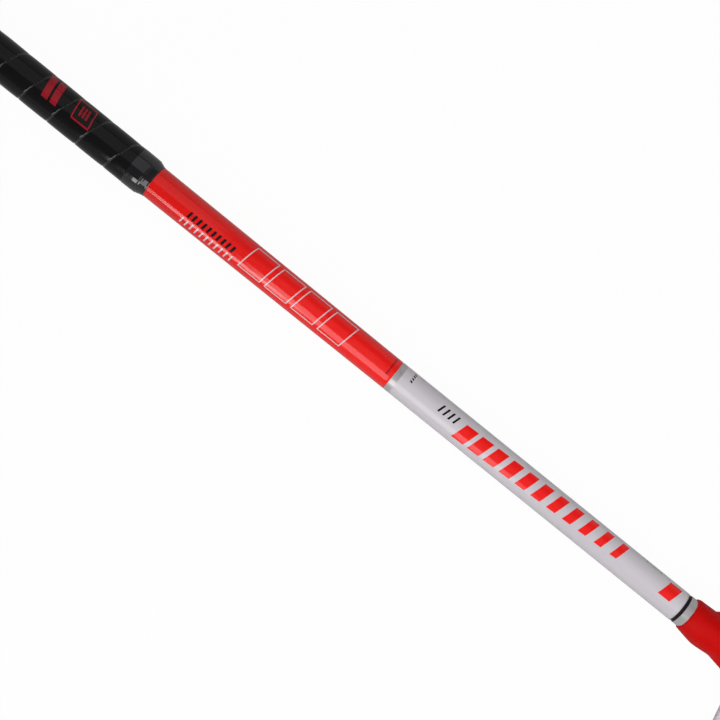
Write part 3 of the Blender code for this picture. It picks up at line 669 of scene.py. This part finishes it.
def rubber_finish(name, grain, roughness):
    """Matte rubber with a fine skin and a little bloom."""
    finish = Finish(name, IOR=1.5, Specular_IOR_Level=0.2)
    pores = finish.noise(grain, 3.0, 0.6)
    bloom = finish.noise(60.0, 3.0)
    rubber = bpy.context.scene.stick_colours.rubber
    finish.feed(Base_Color=finish.shades(bloom.ramp(0.45, 0.8, 0.0, 0.6), rubber, 1.0, 1.7),
                Roughness=pores.ramp(0.3, 0.7, roughness - 0.06, roughness + 0.08))
    finish.bump(pores, 0.00006, 0.5)
    return finish


def grip_finish():
    """Black foam tape with fine pores, shiny pressed edges, a painted highlight along its seams and
    slanted printed bars.
    """
    colours, sizes = bpy.context.scene.stick_colours, bpy.context.scene.grip_sizes
    finish = Finish("grip_foam", IOR=1.31, Coat_Roughness=0.05)
    along, across = finish.round_shaft()
    turn = 0.25 - across / (TURN * bpy.context.scene.shaft_sizes.waist_radius)
    winding = (along - sizes.seam - turn * sizes.pitch) % sizes.pitch
    from_seam = winding.at_most(sizes.pitch - winding)
    pores = finish.noise(1700.0, 2.0, 0.55)
    dents = finish.noise(130.0, stretch=(0.6, 1.0, 1.0))
    worn = printed(GRIP_RED, along, across) * pores.ramp(0.3, 0.45)
    # Painted highlight: the seams take a lighter grey, standing in for light caught on their pressed
    # edges
    base = finish.mix(from_seam.ramp(0.0003, 0.0007, 1.0, 0.0), colours.grip, colours.seam)
    rubbed = from_seam.ramp(0.0012, 0.0026, 0.06, 0.12)
    finish.feed(Base_Color=finish.mix(worn, base, colours.grip_ink),
                Coat_Weight=from_seam.ramp(0.0004, 0.0014, 0.7, 0.0),
                Roughness=rubbed + pores.ramp(0.3, 0.7, 0.0, 0.05))
    finish.bump(pores * 0.4 + dents * 0.6, 0.00004, 0.3)
    return finish


def vinyl_finish():
    """Smooth stretched tape with faint lengthwise creases."""
    finish = Finish("finishing_vinyl", IOR=1.62)
    creases = finish.noise(190.0, 1.0, stretch=(1.0, 0.35, 0.35))
    smears = finish.noise(90.0, 3.0)
    vinyl = bpy.context.scene.stick_colours.vinyl
    finish.feed(Base_Color=finish.shades(smears.ramp(0.4, 0.8), vinyl, 1.0, 1.5),
                Roughness=smears.ramp(0.3, 0.7, 0.06, 0.12))
    finish.bump(creases, 0.00008, 0.4)
    return finish


def moulded_finish(name, scuff):
    """Moulded polyethylene: a fine spark grain, faint flow marks and soft scuffs on the toe side."""
    finish = Finish(name, IOR=1.48, Specular_IOR_Level=0.1)
    grain = finish.noise(1500.0, 2.0, 0.6)
    flow = finish.noise(24.0, 3.0, stretch=(0.4, 1.0, 1.0))
    tone = finish.shades(flow.ramp(0.3, 0.7), getattr(bpy.context.scene.stick_colours, name), 0.93)
    scratches = finish.noise(700.0, stretch=(0.05, 1.0, 1.0))
    rubbed = scratches.ramp(0.62, 0.72) * (finish.y < 0.0) * 0.25
    finish.feed(Base_Color=finish.mix(rubbed, tone, scuff), Roughness=grain.ramp(0.3, 0.7, 0.42, 0.6))
    finish.bump(grain, 0.00005, 0.5)
    return finish


def zinc_finish():
    """Zinc plating with faint turning marks."""
    finish = Finish("zinc_steel", Metallic=1.0)
    plating = finish.noise(800.0, 3.0)
    zinc = bpy.context.scene.stick_colours.zinc
    finish.feed(Base_Color=finish.shades(plating.ramp(0.3, 0.7), zinc, 0.85),
                Roughness=plating.ramp(0.3, 0.7, 0.26, 0.42))
    finish.bump(finish.noise(2400.0, 1.0, stretch=(1.0, 1.0, 3.0)), 0.00002, 0.3)
    return finish


# Operators


class Step(bpy.types.Operator):
    """A step in making the stick."""

    bl_options = {"REGISTER", "UNDO"}


class STICK_OT_shaft(Step):
    """Turns the tube, bare at the butt, between the films and below the ring"""

    bl_idname = "stick.shaft"
    bl_label = "Shaft"

    def execute(self, context):
        sizes = context.scene.shaft_sizes
        film, groove = sizes.film + 2 * NEAR, sizes.ring_sink + sizes.ring + 2 * NEAR
        outer = [(0.0, 0.0)]
        for node, depth in (("red_film", film), ("white_film", film), ("trim_ring", groove)):
            low, high = span_of(node)
            outer += [(low, 0.0), (low, depth), (high, depth), (high, 0.0)]
        outer.append((SHAFT_LENGTH, 0.0))
        # Runs longer than this get points between their ends, which follow the taper
        long_run = 0.02
        profile = []
        for (low, depth), (high, _) in zip(outer, outer[1:]):
            profile.append((low, tube_radius(low) - depth))
            if high - low > long_run:
                between = np.linspace(low, high, sizes.steps + 2)[1:-1]
                profile += [(s, tube_radius(s) - depth) for s in between]
        profile.append((SHAFT_LENGTH, tube_radius(SHAFT_LENGTH)))
        bore = np.linspace(SHAFT_LENGTH, 0.0, 40)
        profile += [(s, tube_radius(s) - sizes.wall) for s in bore]
        settle(revolved("shaft_tube", profile, sizes.sides), silver_finish(), "shaft")
        return {"FINISHED"}


class STICK_OT_films(Step):
    """Wraps the red and the white printed film round the tube"""

    bl_idname = "stick.films"
    bl_label = "Printed films"

    def execute(self, context):
        film = context.scene.shaft_sizes.film
        sleeve("red_film_wrap", "red_film", 0.0, film, red_film_finish())
        sleeve("white_film_wrap", "white_film", 0.0, film, white_film_finish())
        return {"FINISHED"}


class STICK_OT_ring(Step):
    """Sets the black rubber ring in its groove above the blade"""

    bl_idname = "stick.ring"
    bl_label = "Trim ring"

    def execute(self, context):
        sizes = context.scene.shaft_sizes
        finish = rubber_finish("ring_rubber", 1800.0, 0.5)
        sleeve("black_ring", "trim_ring", sizes.ring_sink, sizes.ring_sink + sizes.ring, finish)
        return {"FINISHED"}


class STICK_OT_grip(Step):
    """Winds the foam tape round the upper end of the shaft"""

    bl_idname = "stick.grip"
    bl_label = "Wound grip"

    def execute(self, context):
        sizes = context.scene.grip_sizes
        finish = grip_finish()
        tree = Growth("wound_tape")
        start, end = span_of("grip_tape")
        last = tree.size("End", end)
        pitch, seam, gap, thick = tree.sizes(sizes, "pitch", "seam", "gap", "thickness")
        edge, sink, crown, clear, tail = tree.sizes(sizes, "edge", "fall", "crown", "clearance", "tail")
        # The turns run a little past both ends, where they are cut square
        spare = sizes.pitch / 2 + 0.0002
        low = (start - spare - sizes.seam - sizes.pitch / 2) / sizes.pitch
        high = (end + spare - sizes.seam - sizes.pitch / 2) / sizes.pitch
        start_turn = tree.size("First Turn", low)
        turns = tree.size("Turns", high - low)
        points = 38
        around = tree.size("Section Points", points, "Int")
        count = tree.size("Points Along", int(sizes.steps * (high - low)) + 1, "Int")
        grid, across, run = tree.lattice(around, count)
        turn = start_turn + run * turns
        centre = seam + pitch * (turn + 0.5)
        # The section runs along the tape's under side and back over its top to where it began
        inner_share = 0.2
        outer_end = 1.0 - 1.0 / (points - 1)
        closing = across > outer_end + 0.001
        inside = (across < inner_share) + closing
        width = pitch - gap
        swing = ((across - inner_share) / (outer_end - inner_share)).at_least(0.0).at_most(1.0)
        outer_place = width * 0.5 * (swing * math.pi).cosine()
        inner_place = width * (across / inner_share * (1.0 - closing) - 0.5)
        offset = inside * inner_place + (1.0 - inside) * outer_place
        inset = (width * 0.5 - abs(offset)).at_most(edge).at_least(0.0)
        reach = 1.0 - inset / edge
        fall = sink * (1.0 - (1.0 - reach * reach).at_least(0.0) ** 0.5)
        middle = offset / (width * 0.5)
        rise = crown * (1.0 - middle ** 4.0)
        along = centre + offset
        # Under the finishing tape the grip is pressed thin towards its end
        pressing, pressed = 0.0050, 0.0020
        full = thick - fall + rise
        height = full + (tail - full) * along.line(last - pressing, last - pressed)
        radius = tree.taper(along) + clear + (1.0 - inside) * height.at_least(0.0001)
        tree.close(tree.lay(grid, along, radius, turn * TURN))
        obj = tree.grow("wound_grip", finish)
        closed_up(obj.data)
        wide = 2.0 * context.scene.shaft_sizes.butt_radius
        keeper = revolved("keeper", [(start, 0.0), (start, wide), (end, wide), (end, 0.0)], 64)
        combined(obj, keeper, "INTERSECT")
        mended(obj)
        settle(obj, finish, "grip_tape")
        return {"FINISHED"}


class STICK_OT_finishing_tape(Step):
    """Wraps the finishing tape over the lower end of the grip, with its free end on the far side"""

    bl_idname = "stick.finishing_tape"
    bl_label = "Finishing tape"

    def execute(self, context):
        grip, eased = context.scene.grip_sizes, self.eased
        start, end = span_of("finishing_tape")
        lap = span_of("grip_tape")[1]
        # Rows lie close together at both ends, where the edges are rolled
        stations = np.concatenate([start + np.array([0.0, 0.0002, 0.0006]),
                                   np.linspace(start + 0.0012, end - 0.0006, 78),
                                   end - np.array([0.0002, 0.0])])
        along, turn = np.meshgrid(stations, np.linspace(0.0, TURN, 160, endpoint=False))
        full = grip.clearance + grip.thickness + grip.crown
        loose, tighter = 0.00009, 0.00008
        body = full + loose - tighter * np.clip((along - start) / (lap - start), 0.0, 1.0)
        free_end, free_turn = 0.0001, 0.7
        body += free_end * (0.5 + 0.5 * np.tanh((np.cos(turn - free_turn) - 0.15) / 0.05))
        shortest, longer, longest_turn = 0.0046, 0.0038, 0.6
        shoulder = end - shortest - longer * (0.5 + 0.5 * np.cos(turn - longest_turn))
        share = (along - shoulder) / (end - shoulder)
        crease, reach = 0.00012, 0.0045
        body -= crease * eased((along - shoulder + reach) / reach)
        drop = 0.3 * eased(share / 0.12) + 0.7 * eased((share - 0.1) / 0.8)
        outer = body + (grip.edge_height - body) * drop
        ripple, rate, wander = 0.00005, 1850.0, 0.6
        waves = np.sin((along - end) * rate + wander * np.sin(turn * 3.0))
        outer += ripple * waves * eased(share * 3.0) * eased((1.0 - share) * 4.0)
        roll, rolled = 0.00012, 0.0006
        from_edge = np.minimum(along - start, end - along)
        outer -= roll * np.clip(1.0 - from_edge / rolled, 0.0, 1.0) ** 2
        # Under it the band rests on the grip, and past the grip's end on the film
        lowest, least, grip_end = 0.00003, 0.00004, lap - 0.0016
        inner = np.maximum(outer - grip.band / 2, lowest)
        inner = np.minimum(np.where(along < grip_end, full - 0.00001, inner), outer - least)
        tube = tube_radius(along)
        radius = np.concatenate([outer + tube, (inner + tube)[:, ::-1]], axis=1)
        place, turn = [np.concatenate([grid, grid[:, ::-1]], axis=1) for grid in (along, turn)]
        obj = skinned("grip_band", about_axis(BUTT_X + place, turn, radius))
        settle(obj, vinyl_finish(), "finishing_tape")
        return {"FINISHED"}

    @staticmethod
    def eased(share):
        """0 to 1 with a soft start and end."""
        share = np.clip(share, 0.0, 1.0)
        return share * share * (3.0 - 2.0 * share)


class STICK_OT_end_cap(Step):
    """Turns the rubber cap with its dished face, its fine beads and its hollow ribbed plug"""

    bl_idname = "stick.end_cap"
    bl_label = "End cap"

    def execute(self, context):
        shaft, sizes = context.scene.shaft_sizes, context.scene.cap_sizes
        clearance = context.scene.grip_sizes.clearance
        low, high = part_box("end_cap")
        face, plug_end = span_of("end_cap")
        radius = (high.z - low.z) / 2
        rim, corner = -clearance, sizes.rounding
        quarter = np.radians(np.linspace(0, 90, 9))
        hollow = face + sizes.dish
        outline = [(hollow, 0.0), (hollow, radius * 0.55), (face, radius * 0.66)]
        outline += [(face + corner * (1 - math.cos(a)), radius - corner * (1 - math.sin(a)))
                    for a in quarter]
        straight = rim - face - 2 * corner
        for s in np.linspace(0.0, sizes.beads, 8 * sizes.beads + 1)[1:-1]:
            dip = sizes.groove * (0.5 - 0.5 * math.cos(s * TURN))
            outline.append((face + corner + straight * s / sizes.beads, radius - dip))
        outline += [(rim - corner * (1 - math.sin(a)), radius - corner * (1 - math.cos(a)))
                    for a in quarter[::-1]]
        plug = shaft.butt_radius - shaft.wall - clearance
        waist, bore = plug - sizes.rib_depth, plug - sizes.plug_wall
        outline.append((rim, waist))
        pitch = plug_end / (sizes.ribs + 1)
        for rib in range(1, sizes.ribs + 1):
            foot, crest, end = (rib - 0.20) * pitch, (rib - 0.05) * pitch, (rib + 0.20) * pitch
            outline += [(foot, waist), (crest, plug), (end, plug)]
        outline += [(plug_end, waist), (plug_end, bore), (rim, bore), (rim, 0.0)]
        finish = rubber_finish("cap_rubber", 1300.0, 0.55)
        settle(revolved("rubber_cap", outline, shaft.sides), finish, "end_cap")
        return {"FINISHED"}


def merged_copy(node):
    """A copy of a solid's mesh with its loose triangles joined."""
    bm = bmesh.new()
    bm.from_mesh(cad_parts[node].data)
    bmesh.ops.remove_doubles(bm, verts=bm.verts, dist=1e-6)
    mesh = bpy.data.meshes.new(node + "_copy")
    bm.to_mesh(mesh)
    bm.free()
    return mesh


def remeshed(obj, voxel):
    modifier = obj.modifiers.new("grain", "REMESH")
    modifier.mode = "VOXEL"
    modifier.voxel_size = voxel
    return applied(obj)


def relaxed(mesh, rounds, weight=None):
    """Draws each point towards its neighbours' middle, by a weight that its X may give."""
    count = len(mesh.vertices)
    points = np.empty(count * 3)
    mesh.vertices.foreach_get("co", points)
    points = points.reshape(-1, 3)
    edges = np.empty(len(mesh.edges) * 2, dtype=np.int64)
    mesh.edges.foreach_get("vertices", edges)
    a, b = edges.reshape(-1, 2).T
    ends = np.concatenate([a, b])
    others = np.concatenate([b, a])
    valence = np.bincount(ends, minlength=count)[:, None]
    hold = np.ones((count, 1)) if weight is None else weight(points[:, :1])
    for _ in range(rounds):
        sums = np.stack([np.bincount(ends, points[others, k], count) for k in range(3)], axis=1)
        points += 0.5 * hold * (sums / valence - points)
    mesh.vertices.foreach_set("co", points.ravel())
    mesh.update()


class STICK_OT_blade(Step):
    """Softens the pale body of the blade as its mould does"""

    bl_idname = "stick.blade"
    bl_label = "Blade body"

    def execute(self, context):
        sizes = context.scene.blade_sizes
        finish = moulded_finish("pale_moulding", (0.42, 0.38, 0.40))
        obj = remeshed(linked("blade_body", merged_copy("blade")), sizes.voxel)
        relaxed(obj.data, sizes.rounds)
        shade(obj.data, math.radians(60))
        settle(obj, finish, "blade")
        return {"FINISHED"}


def screw_place(node):
    """The middle of a blade screw's head, and the screw's length."""
    low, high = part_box(node)
    return Vector(((low.x + high.x) / 2, (low.y + high.y) / 2, low.z)), high.z - low.z


class STICK_OT_neck(Step):
    """Softens the red neck and heel, and cuts the socket and the screw seats crisply again"""

    bl_idname = "stick.neck"
    bl_label = "Neck and heel"

    # How far a rod that fills a hole reaches into the hole's wall
    overfill = 0.00015

    def execute(self, context):
        sizes = context.scene.blade_sizes
        finish = moulded_finish("red_moulding", (0.50, 0.10, 0.10))
        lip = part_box("blade_neck")[0].x
        obj = linked("neck_and_heel", merged_copy("blade_neck"))
        combined(obj, self.plug(lip, sizes), "UNION")
        for node in BLADE_SCREWS:
            combined(obj, self.seat(context, node, self.overfill), "UNION")
        remeshed(obj, sizes.neck_voxel)
        # The lip stays crisp, and the smoothing comes in beyond it
        crisp, easing, least = 0.003, 0.004, 0.15
        relaxed(obj.data, sizes.rounds, lambda x: np.clip((x - lip - crisp) / easing, least, 1.0))
        combined(obj, self.socket(lip, sizes), "DIFFERENCE")
        for node in BLADE_SCREWS:
            combined(obj, self.seat(context, node, 0.0), "DIFFERENCE")
        mended(obj)
        settle(obj, finish, "blade_neck")
        return {"FINISHED"}

    def plug(self, lip, sizes):
        """A rod that fills the socket, with its front dipped as the lip is."""
        sides = 128
        turn = np.linspace(0.0, TURN, sides, endpoint=False)
        dipped = lip + sizes.lip_dip * (1.0 - np.sin(turn) ** 8)
        end = SHAFT_HIGH.x + 0.0015
        rings = [about_axis(x, turn, sizes.socket + self.overfill) for x in (dipped, end)]
        middles = [[lip + sizes.lip_dip / 2, AXIS_Y, AXIS_Z], [end, AXIS_Y, AXIS_Z]]
        faces = []
        for i in range(sides):
            j = (i + 1) % sides
            faces += [(i, j, sides + j, sides + i), (i, j, 2 * sides)]
            faces.append((sides + i, sides + j, 2 * sides + 1))
        mesh = bpy.data.meshes.new("plug")
        mesh.from_pydata(np.concatenate([*rings, middles]).tolist(), [], faces)
        return linked("plug", closed_up(mesh))

    @staticmethod
    def socket(lip, sizes):
        """The round bore that takes the shaft's lower end."""
        before, beyond, narrowing = 0.004, 0.0003, 0.00004
        front, back = lip - before - BUTT_X, SHAFT_HIGH.x + beyond - BUTT_X
        profile = [(front, 0.0), (front, sizes.socket), (back, sizes.socket - narrowing), (back, 0.0)]
        return revolved("socket", profile, 128)

    @staticmethod
    def seat(context, node, fill):
        """The seat of a screw, or with a fill the slightly fuller rod that closes it."""
        sizes = context.scene.screw_sizes
        place, length = screw_place(node)
        front = 0.0001 - sizes.sink if fill else -4.0 * sizes.sink
        wide = sizes.slack + fill
        head, hole, end = sizes.head + wide, sizes.shank + sizes.crest + wide, length + wide
        profile = [(front, 0.0), (front, head), (0.0, head),
                   (sizes.head_depth + fill, hole), (end, hole), (end, 0.0)]
        return revolved("seat", profile, sizes.sides, place)


class STICK_OT_screws(Step):
    """Turns a countersunk screw with its thread and cross recess, and seats one at each place"""

    bl_idname = "stick.screws"
    bl_label = "Blade screws"

    def execute(self, context):
        sizes = context.scene.screw_sizes
        finish = zinc_finish()
        first, length = screw_place(BLADE_SCREWS[0])
        second, _ = screw_place(BLADE_SCREWS[1])
        tree = Growth("blade_screws")
        head, rim, deep, point = tree.sizes(sizes, "head", "rim", "head_depth", "point")
        shank, crest, pitch = tree.sizes(sizes, "shank", "crest", "pitch")
        span, slot, recess = tree.sizes(sizes, "span", "slot", "recess")
        long = tree.size("Length", length)
        # The profile's five parts: the head's face, its rim, its cone, the thread and the point
        parts, part_points = 5, 48
        sides = tree.size("Sides", sizes.sides + 1, "Int")
        rows = tree.size("Profile Points", parts * part_points + 1, "Int")
        grid, share, turn = tree.lattice(rows, sides)
        step = share * parts
        radius = step.line(0.0, 1.0, 0.0, head) + step.line(2.0, 3.0, 0.0, shank - head)
        radius = radius + step.line(4.0, 5.0, 0.0, -shank)
        height = step.line(1.0, 2.0, 0.0, rim) + step.line(2.0, 3.0, 0.0, deep - rim)
        height = height + step.line(3.0, 4.0, 0.0, long - point - deep)
        height = height + step.line(4.0, 5.0, 0.0, point)
        wave = 1.0 - abs(((height / pitch - turn) % 1.0) * 2.0 - 1.0) * 1.6
        body = step.ramp(3.0, 3.3) * step.ramp(3.9, 4.3, 1.0, 0.0)
        radius = radius + wave.at_least(0.0) * body * crest
        angle = turn * TURN
        place = tree.vector(radius * angle.cosine(), radius * angle.sine(), height)
        values = {"Geometry": tree.moved(grid, place), "Distance": 1e-6}
        turned = tree.node("GeometryNodeMergeByDistance", values)
        arms = [tree.vector(x, y, recess * 2.0) for x, y in ((span, slot), (slot, span))]
        arms = [tree.node("GeometryNodeMeshCube", {"Size": arm}, "Mesh") for arm in arms]
        values = {"Mesh 1": turned, "Mesh 2": arms}
        cut = tree.node("GeometryNodeMeshBoolean", values, "Mesh", operation="DIFFERENCE", solver="EXACT")
        start = tree.size("First Place", tuple(first), "Vector")
        offset = tree.size("Way To Next", tuple(second - first), "Vector")
        values = {"Count": len(BLADE_SCREWS), "Start Location": start, "Offset": offset}
        places = tree.node("GeometryNodeMeshLine", values, mode="OFFSET")
        spin = tree.size("Spin Of Each", 0.7) * (tree.node("GeometryNodeInputIndex") + 0.4)
        values = {"Points": places, "Instance": cut, "Rotation": tree.vector(0.0, 0.0, spin)}
        tree.close(tree.node("GeometryNodeInstanceOnPoints", values))
        obj = tree.grow("zinc_screws", finish)
        shade(closed_up(obj.data))
        settle(obj, finish, *BLADE_SCREWS)
        return {"FINISHED"}


# Each lamp's angle from straight up to the heel side, distance, ends along X, width and mirroring
LAMPS = {
    "upper_softbox": (-64.0, 1.4, (-0.402, -0.13), 0.55, True),
    "lower_softbox": (-45.0, 1.0, (-0.18, 0.27), 0.72, True),
    "fill_panel": (30.0, 1.0, (-1.3, -0.24), 1.2, True),
    "blade_panel": (-29.0, 1.3, (0.55, 1.3), 0.5, True),
    "top_panel": (-3.0, 1.1, (-0.25, 1.1), 1.5, False),
    "heel_panel": (72.0, 1.2, (-0.2, 0.3), 0.6, False),
}


class STICK_OT_studio(Step):
    """Sets the floor and its rising backdrop, the sky light, the lamps and the camera"""

    bl_idname = "stick.studio"
    bl_label = "Studio"

    def execute(self, context):
        settings = context.scene.studio_settings
        context.scene.view_settings.view_transform = "Standard"
        self.floor(settings)
        self.sky(context, settings)
        for name, sizes in LAMPS.items():
            self.lamp(name, getattr(settings, name), *sizes)
        self.camera(context, settings)
        return {"FINISHED"}

    @staticmethod
    def lamp(name, strength, angle, distance, reach, width, mirrored):
        """A soft panel along the shaft that faces it."""
        lean = math.radians(angle)
        length = reach[1] - reach[0]
        data = bpy.data.lights.new(name, "AREA")
        data.shape = "RECTANGLE"
        data.size, data.size_y = length, width
        data.energy = strength * math.pi * length * width
        lamp = linked(name, data)
        side, height = distance * math.sin(lean), distance * math.cos(lean)
        lamp.location = (sum(reach) / 2, AXIS_Y + side, AXIS_Z + height)
        lamp.rotation_euler = (-lean, 0.0, 0.0)
        lamp.visible_camera = False
        lamp.visible_glossy = mirrored

    @staticmethod
    def blank(owner):
        """The emptied node tree of a material or a world."""
        owner.use_nodes = True
        owner.node_tree.nodes.clear()
        return Sheet(owner.node_tree)

    def floor(self, settings):
        """A round floor that rises to a low wall, all in one pale sheet just under the stick."""
        sides, drop = 96, -0.00005
        flat, wall, height = 3.4, 5.4, 2.0
        cove = [(flat + (wall - flat) * math.sin(a), height * (1 - math.cos(a)))
                for a in np.radians(np.linspace(0, 90, 13))]
        rows = [(0.6, 0.0), (1.6, 0.0), *cove]
        around = np.linspace(0, TURN, sides, endpoint=False)
        points = [(0.0, 0.0, drop)]
        for radius, up in rows:
            points += [(radius * math.cos(a), radius * math.sin(a), up + drop) for a in around]
        faces = [(0, 1 + k, 1 + (k + 1) % sides) for k in range(sides)]
        for low in range(1, len(points) - sides, sides):
            high = low + sides
            for k in range(sides):
                j = (k + 1) % sides
                faces.append((low + k, high + k, high + j, low + j))
        mesh = bpy.data.meshes.new("floor")
        mesh.from_pydata(points, [], faces)
        mesh.polygons.foreach_set("use_smooth", [True] * len(mesh.polygons))
        material = bpy.data.materials.new("pale_floor")
        sheet = self.blank(material)
        paths = sheet.node("ShaderNodeLightPath").socket.node.outputs
        camera, glossy, through = [
            Wire(sheet, paths[f"Is {kind} Ray"]) for kind in ("Camera", "Glossy", "Transmission")
        ]
        mirrored = glossy.at_least(through)
        seen = (camera * settings.floor).at_least(mirrored * 0.9)
        strength = camera.at_least(mirrored * settings.floor_mirrored)
        cloth = sheet.node("ShaderNodeBsdfDiffuse", {"Color": (0.70, 0.70, 0.70, 1.0)})
        white = sheet.node("ShaderNodeEmission", {"Color": WHITE, "Strength": strength})
        mixed = sheet.node("ShaderNodeMixShader", [seen, cloth, white])
        sheet.node("ShaderNodeOutputMaterial", {"Surface": mixed})
        mesh.materials.append(material)
        linked("floor", mesh)

    def sky(self, context, settings):
        """Light that is strong near the horizon and weak overhead."""
        world = bpy.data.worlds.new("studio")
        sheet = self.blank(world)
        _, _, up = sheet.parts(sheet.node("ShaderNodeTexCoord", output="Generated"))
        strength = up.ramp(0.25, 0.85, settings.horizon, settings.zenith)
        light = sheet.node("ShaderNodeBackground", {"Color": WHITE, "Strength": strength})
        sheet.node("ShaderNodeOutputWorld", {"Surface": light})
        context.scene.world = world

    @staticmethod
    def camera(context, settings):
        """Looks straight down, with the shaft falling from upper left to lower right."""
        data = bpy.data.cameras.new("camera")
        data.lens = settings.lens
        data.sensor_width = 36.0
        right = Vector((math.cos(settings.turn), math.sin(settings.turn), 0.0))
        up = Vector((-right.y, right.x, 0.0))
        spot = Vector((-0.0039, AXIS_Y - 0.0068, AXIS_Z + settings.distance))
        camera = linked("camera", data)
        camera.matrix_world = Matrix.Translation(spot) @ Matrix((right, up, UP)).transposed().to_4x4()
        context.scene.camera = camera


STEPS = (
    STICK_OT_shaft,
    STICK_OT_films,
    STICK_OT_ring,
    STICK_OT_grip,
    STICK_OT_finishing_tape,
    STICK_OT_end_cap,
    STICK_OT_neck,
    STICK_OT_blade,
    STICK_OT_screws,
    STICK_OT_studio,
)
GROUPS = {
    "shaft_sizes": ShaftSizes,
    "grip_sizes": GripSizes,
    "cap_sizes": CapSizes,
    "blade_sizes": BladeSizes,
    "screw_sizes": ScrewSizes,
    "stick_colours": StickColours,
    "studio_settings": StudioSettings,
}


class STICK_PT_panel(bpy.types.Panel):
    """Lists the stick's sizes, colours and steps."""

    bl_idname = "STICK_PT_panel"
    bl_label = "Floorball stick"
    bl_space_type = "VIEW_3D"
    bl_region_type = "UI"
    bl_category = "Stick"

    def draw(self, context):
        for name, group in GROUPS.items():
            box = self.layout.box()
            box.label(text=name.replace("_", " ").capitalize())
            for key in group.__annotations__:
                box.prop(getattr(context.scene, name), key)
        for step in STEPS:
            self.layout.operator(step.bl_idname)


def register():
    for name, group in GROUPS.items():
        bpy.utils.register_class(group)
        setattr(bpy.types.Scene, name, PointerProperty(type=group))
    for cls in (*STEPS, STICK_PT_panel):
        bpy.utils.register_class(cls)


def unregister():
    for cls in (STICK_PT_panel, *reversed(STEPS)):
        bpy.utils.unregister_class(cls)
    for name, group in reversed(GROUPS.items()):
        delattr(bpy.types.Scene, name)
        bpy.utils.unregister_class(group)


def main():
    register()
    for step in STEPS:
        getattr(bpy.ops.stick, step.bl_idname.split(".")[1])()


if __name__ == "__main__":
    main()
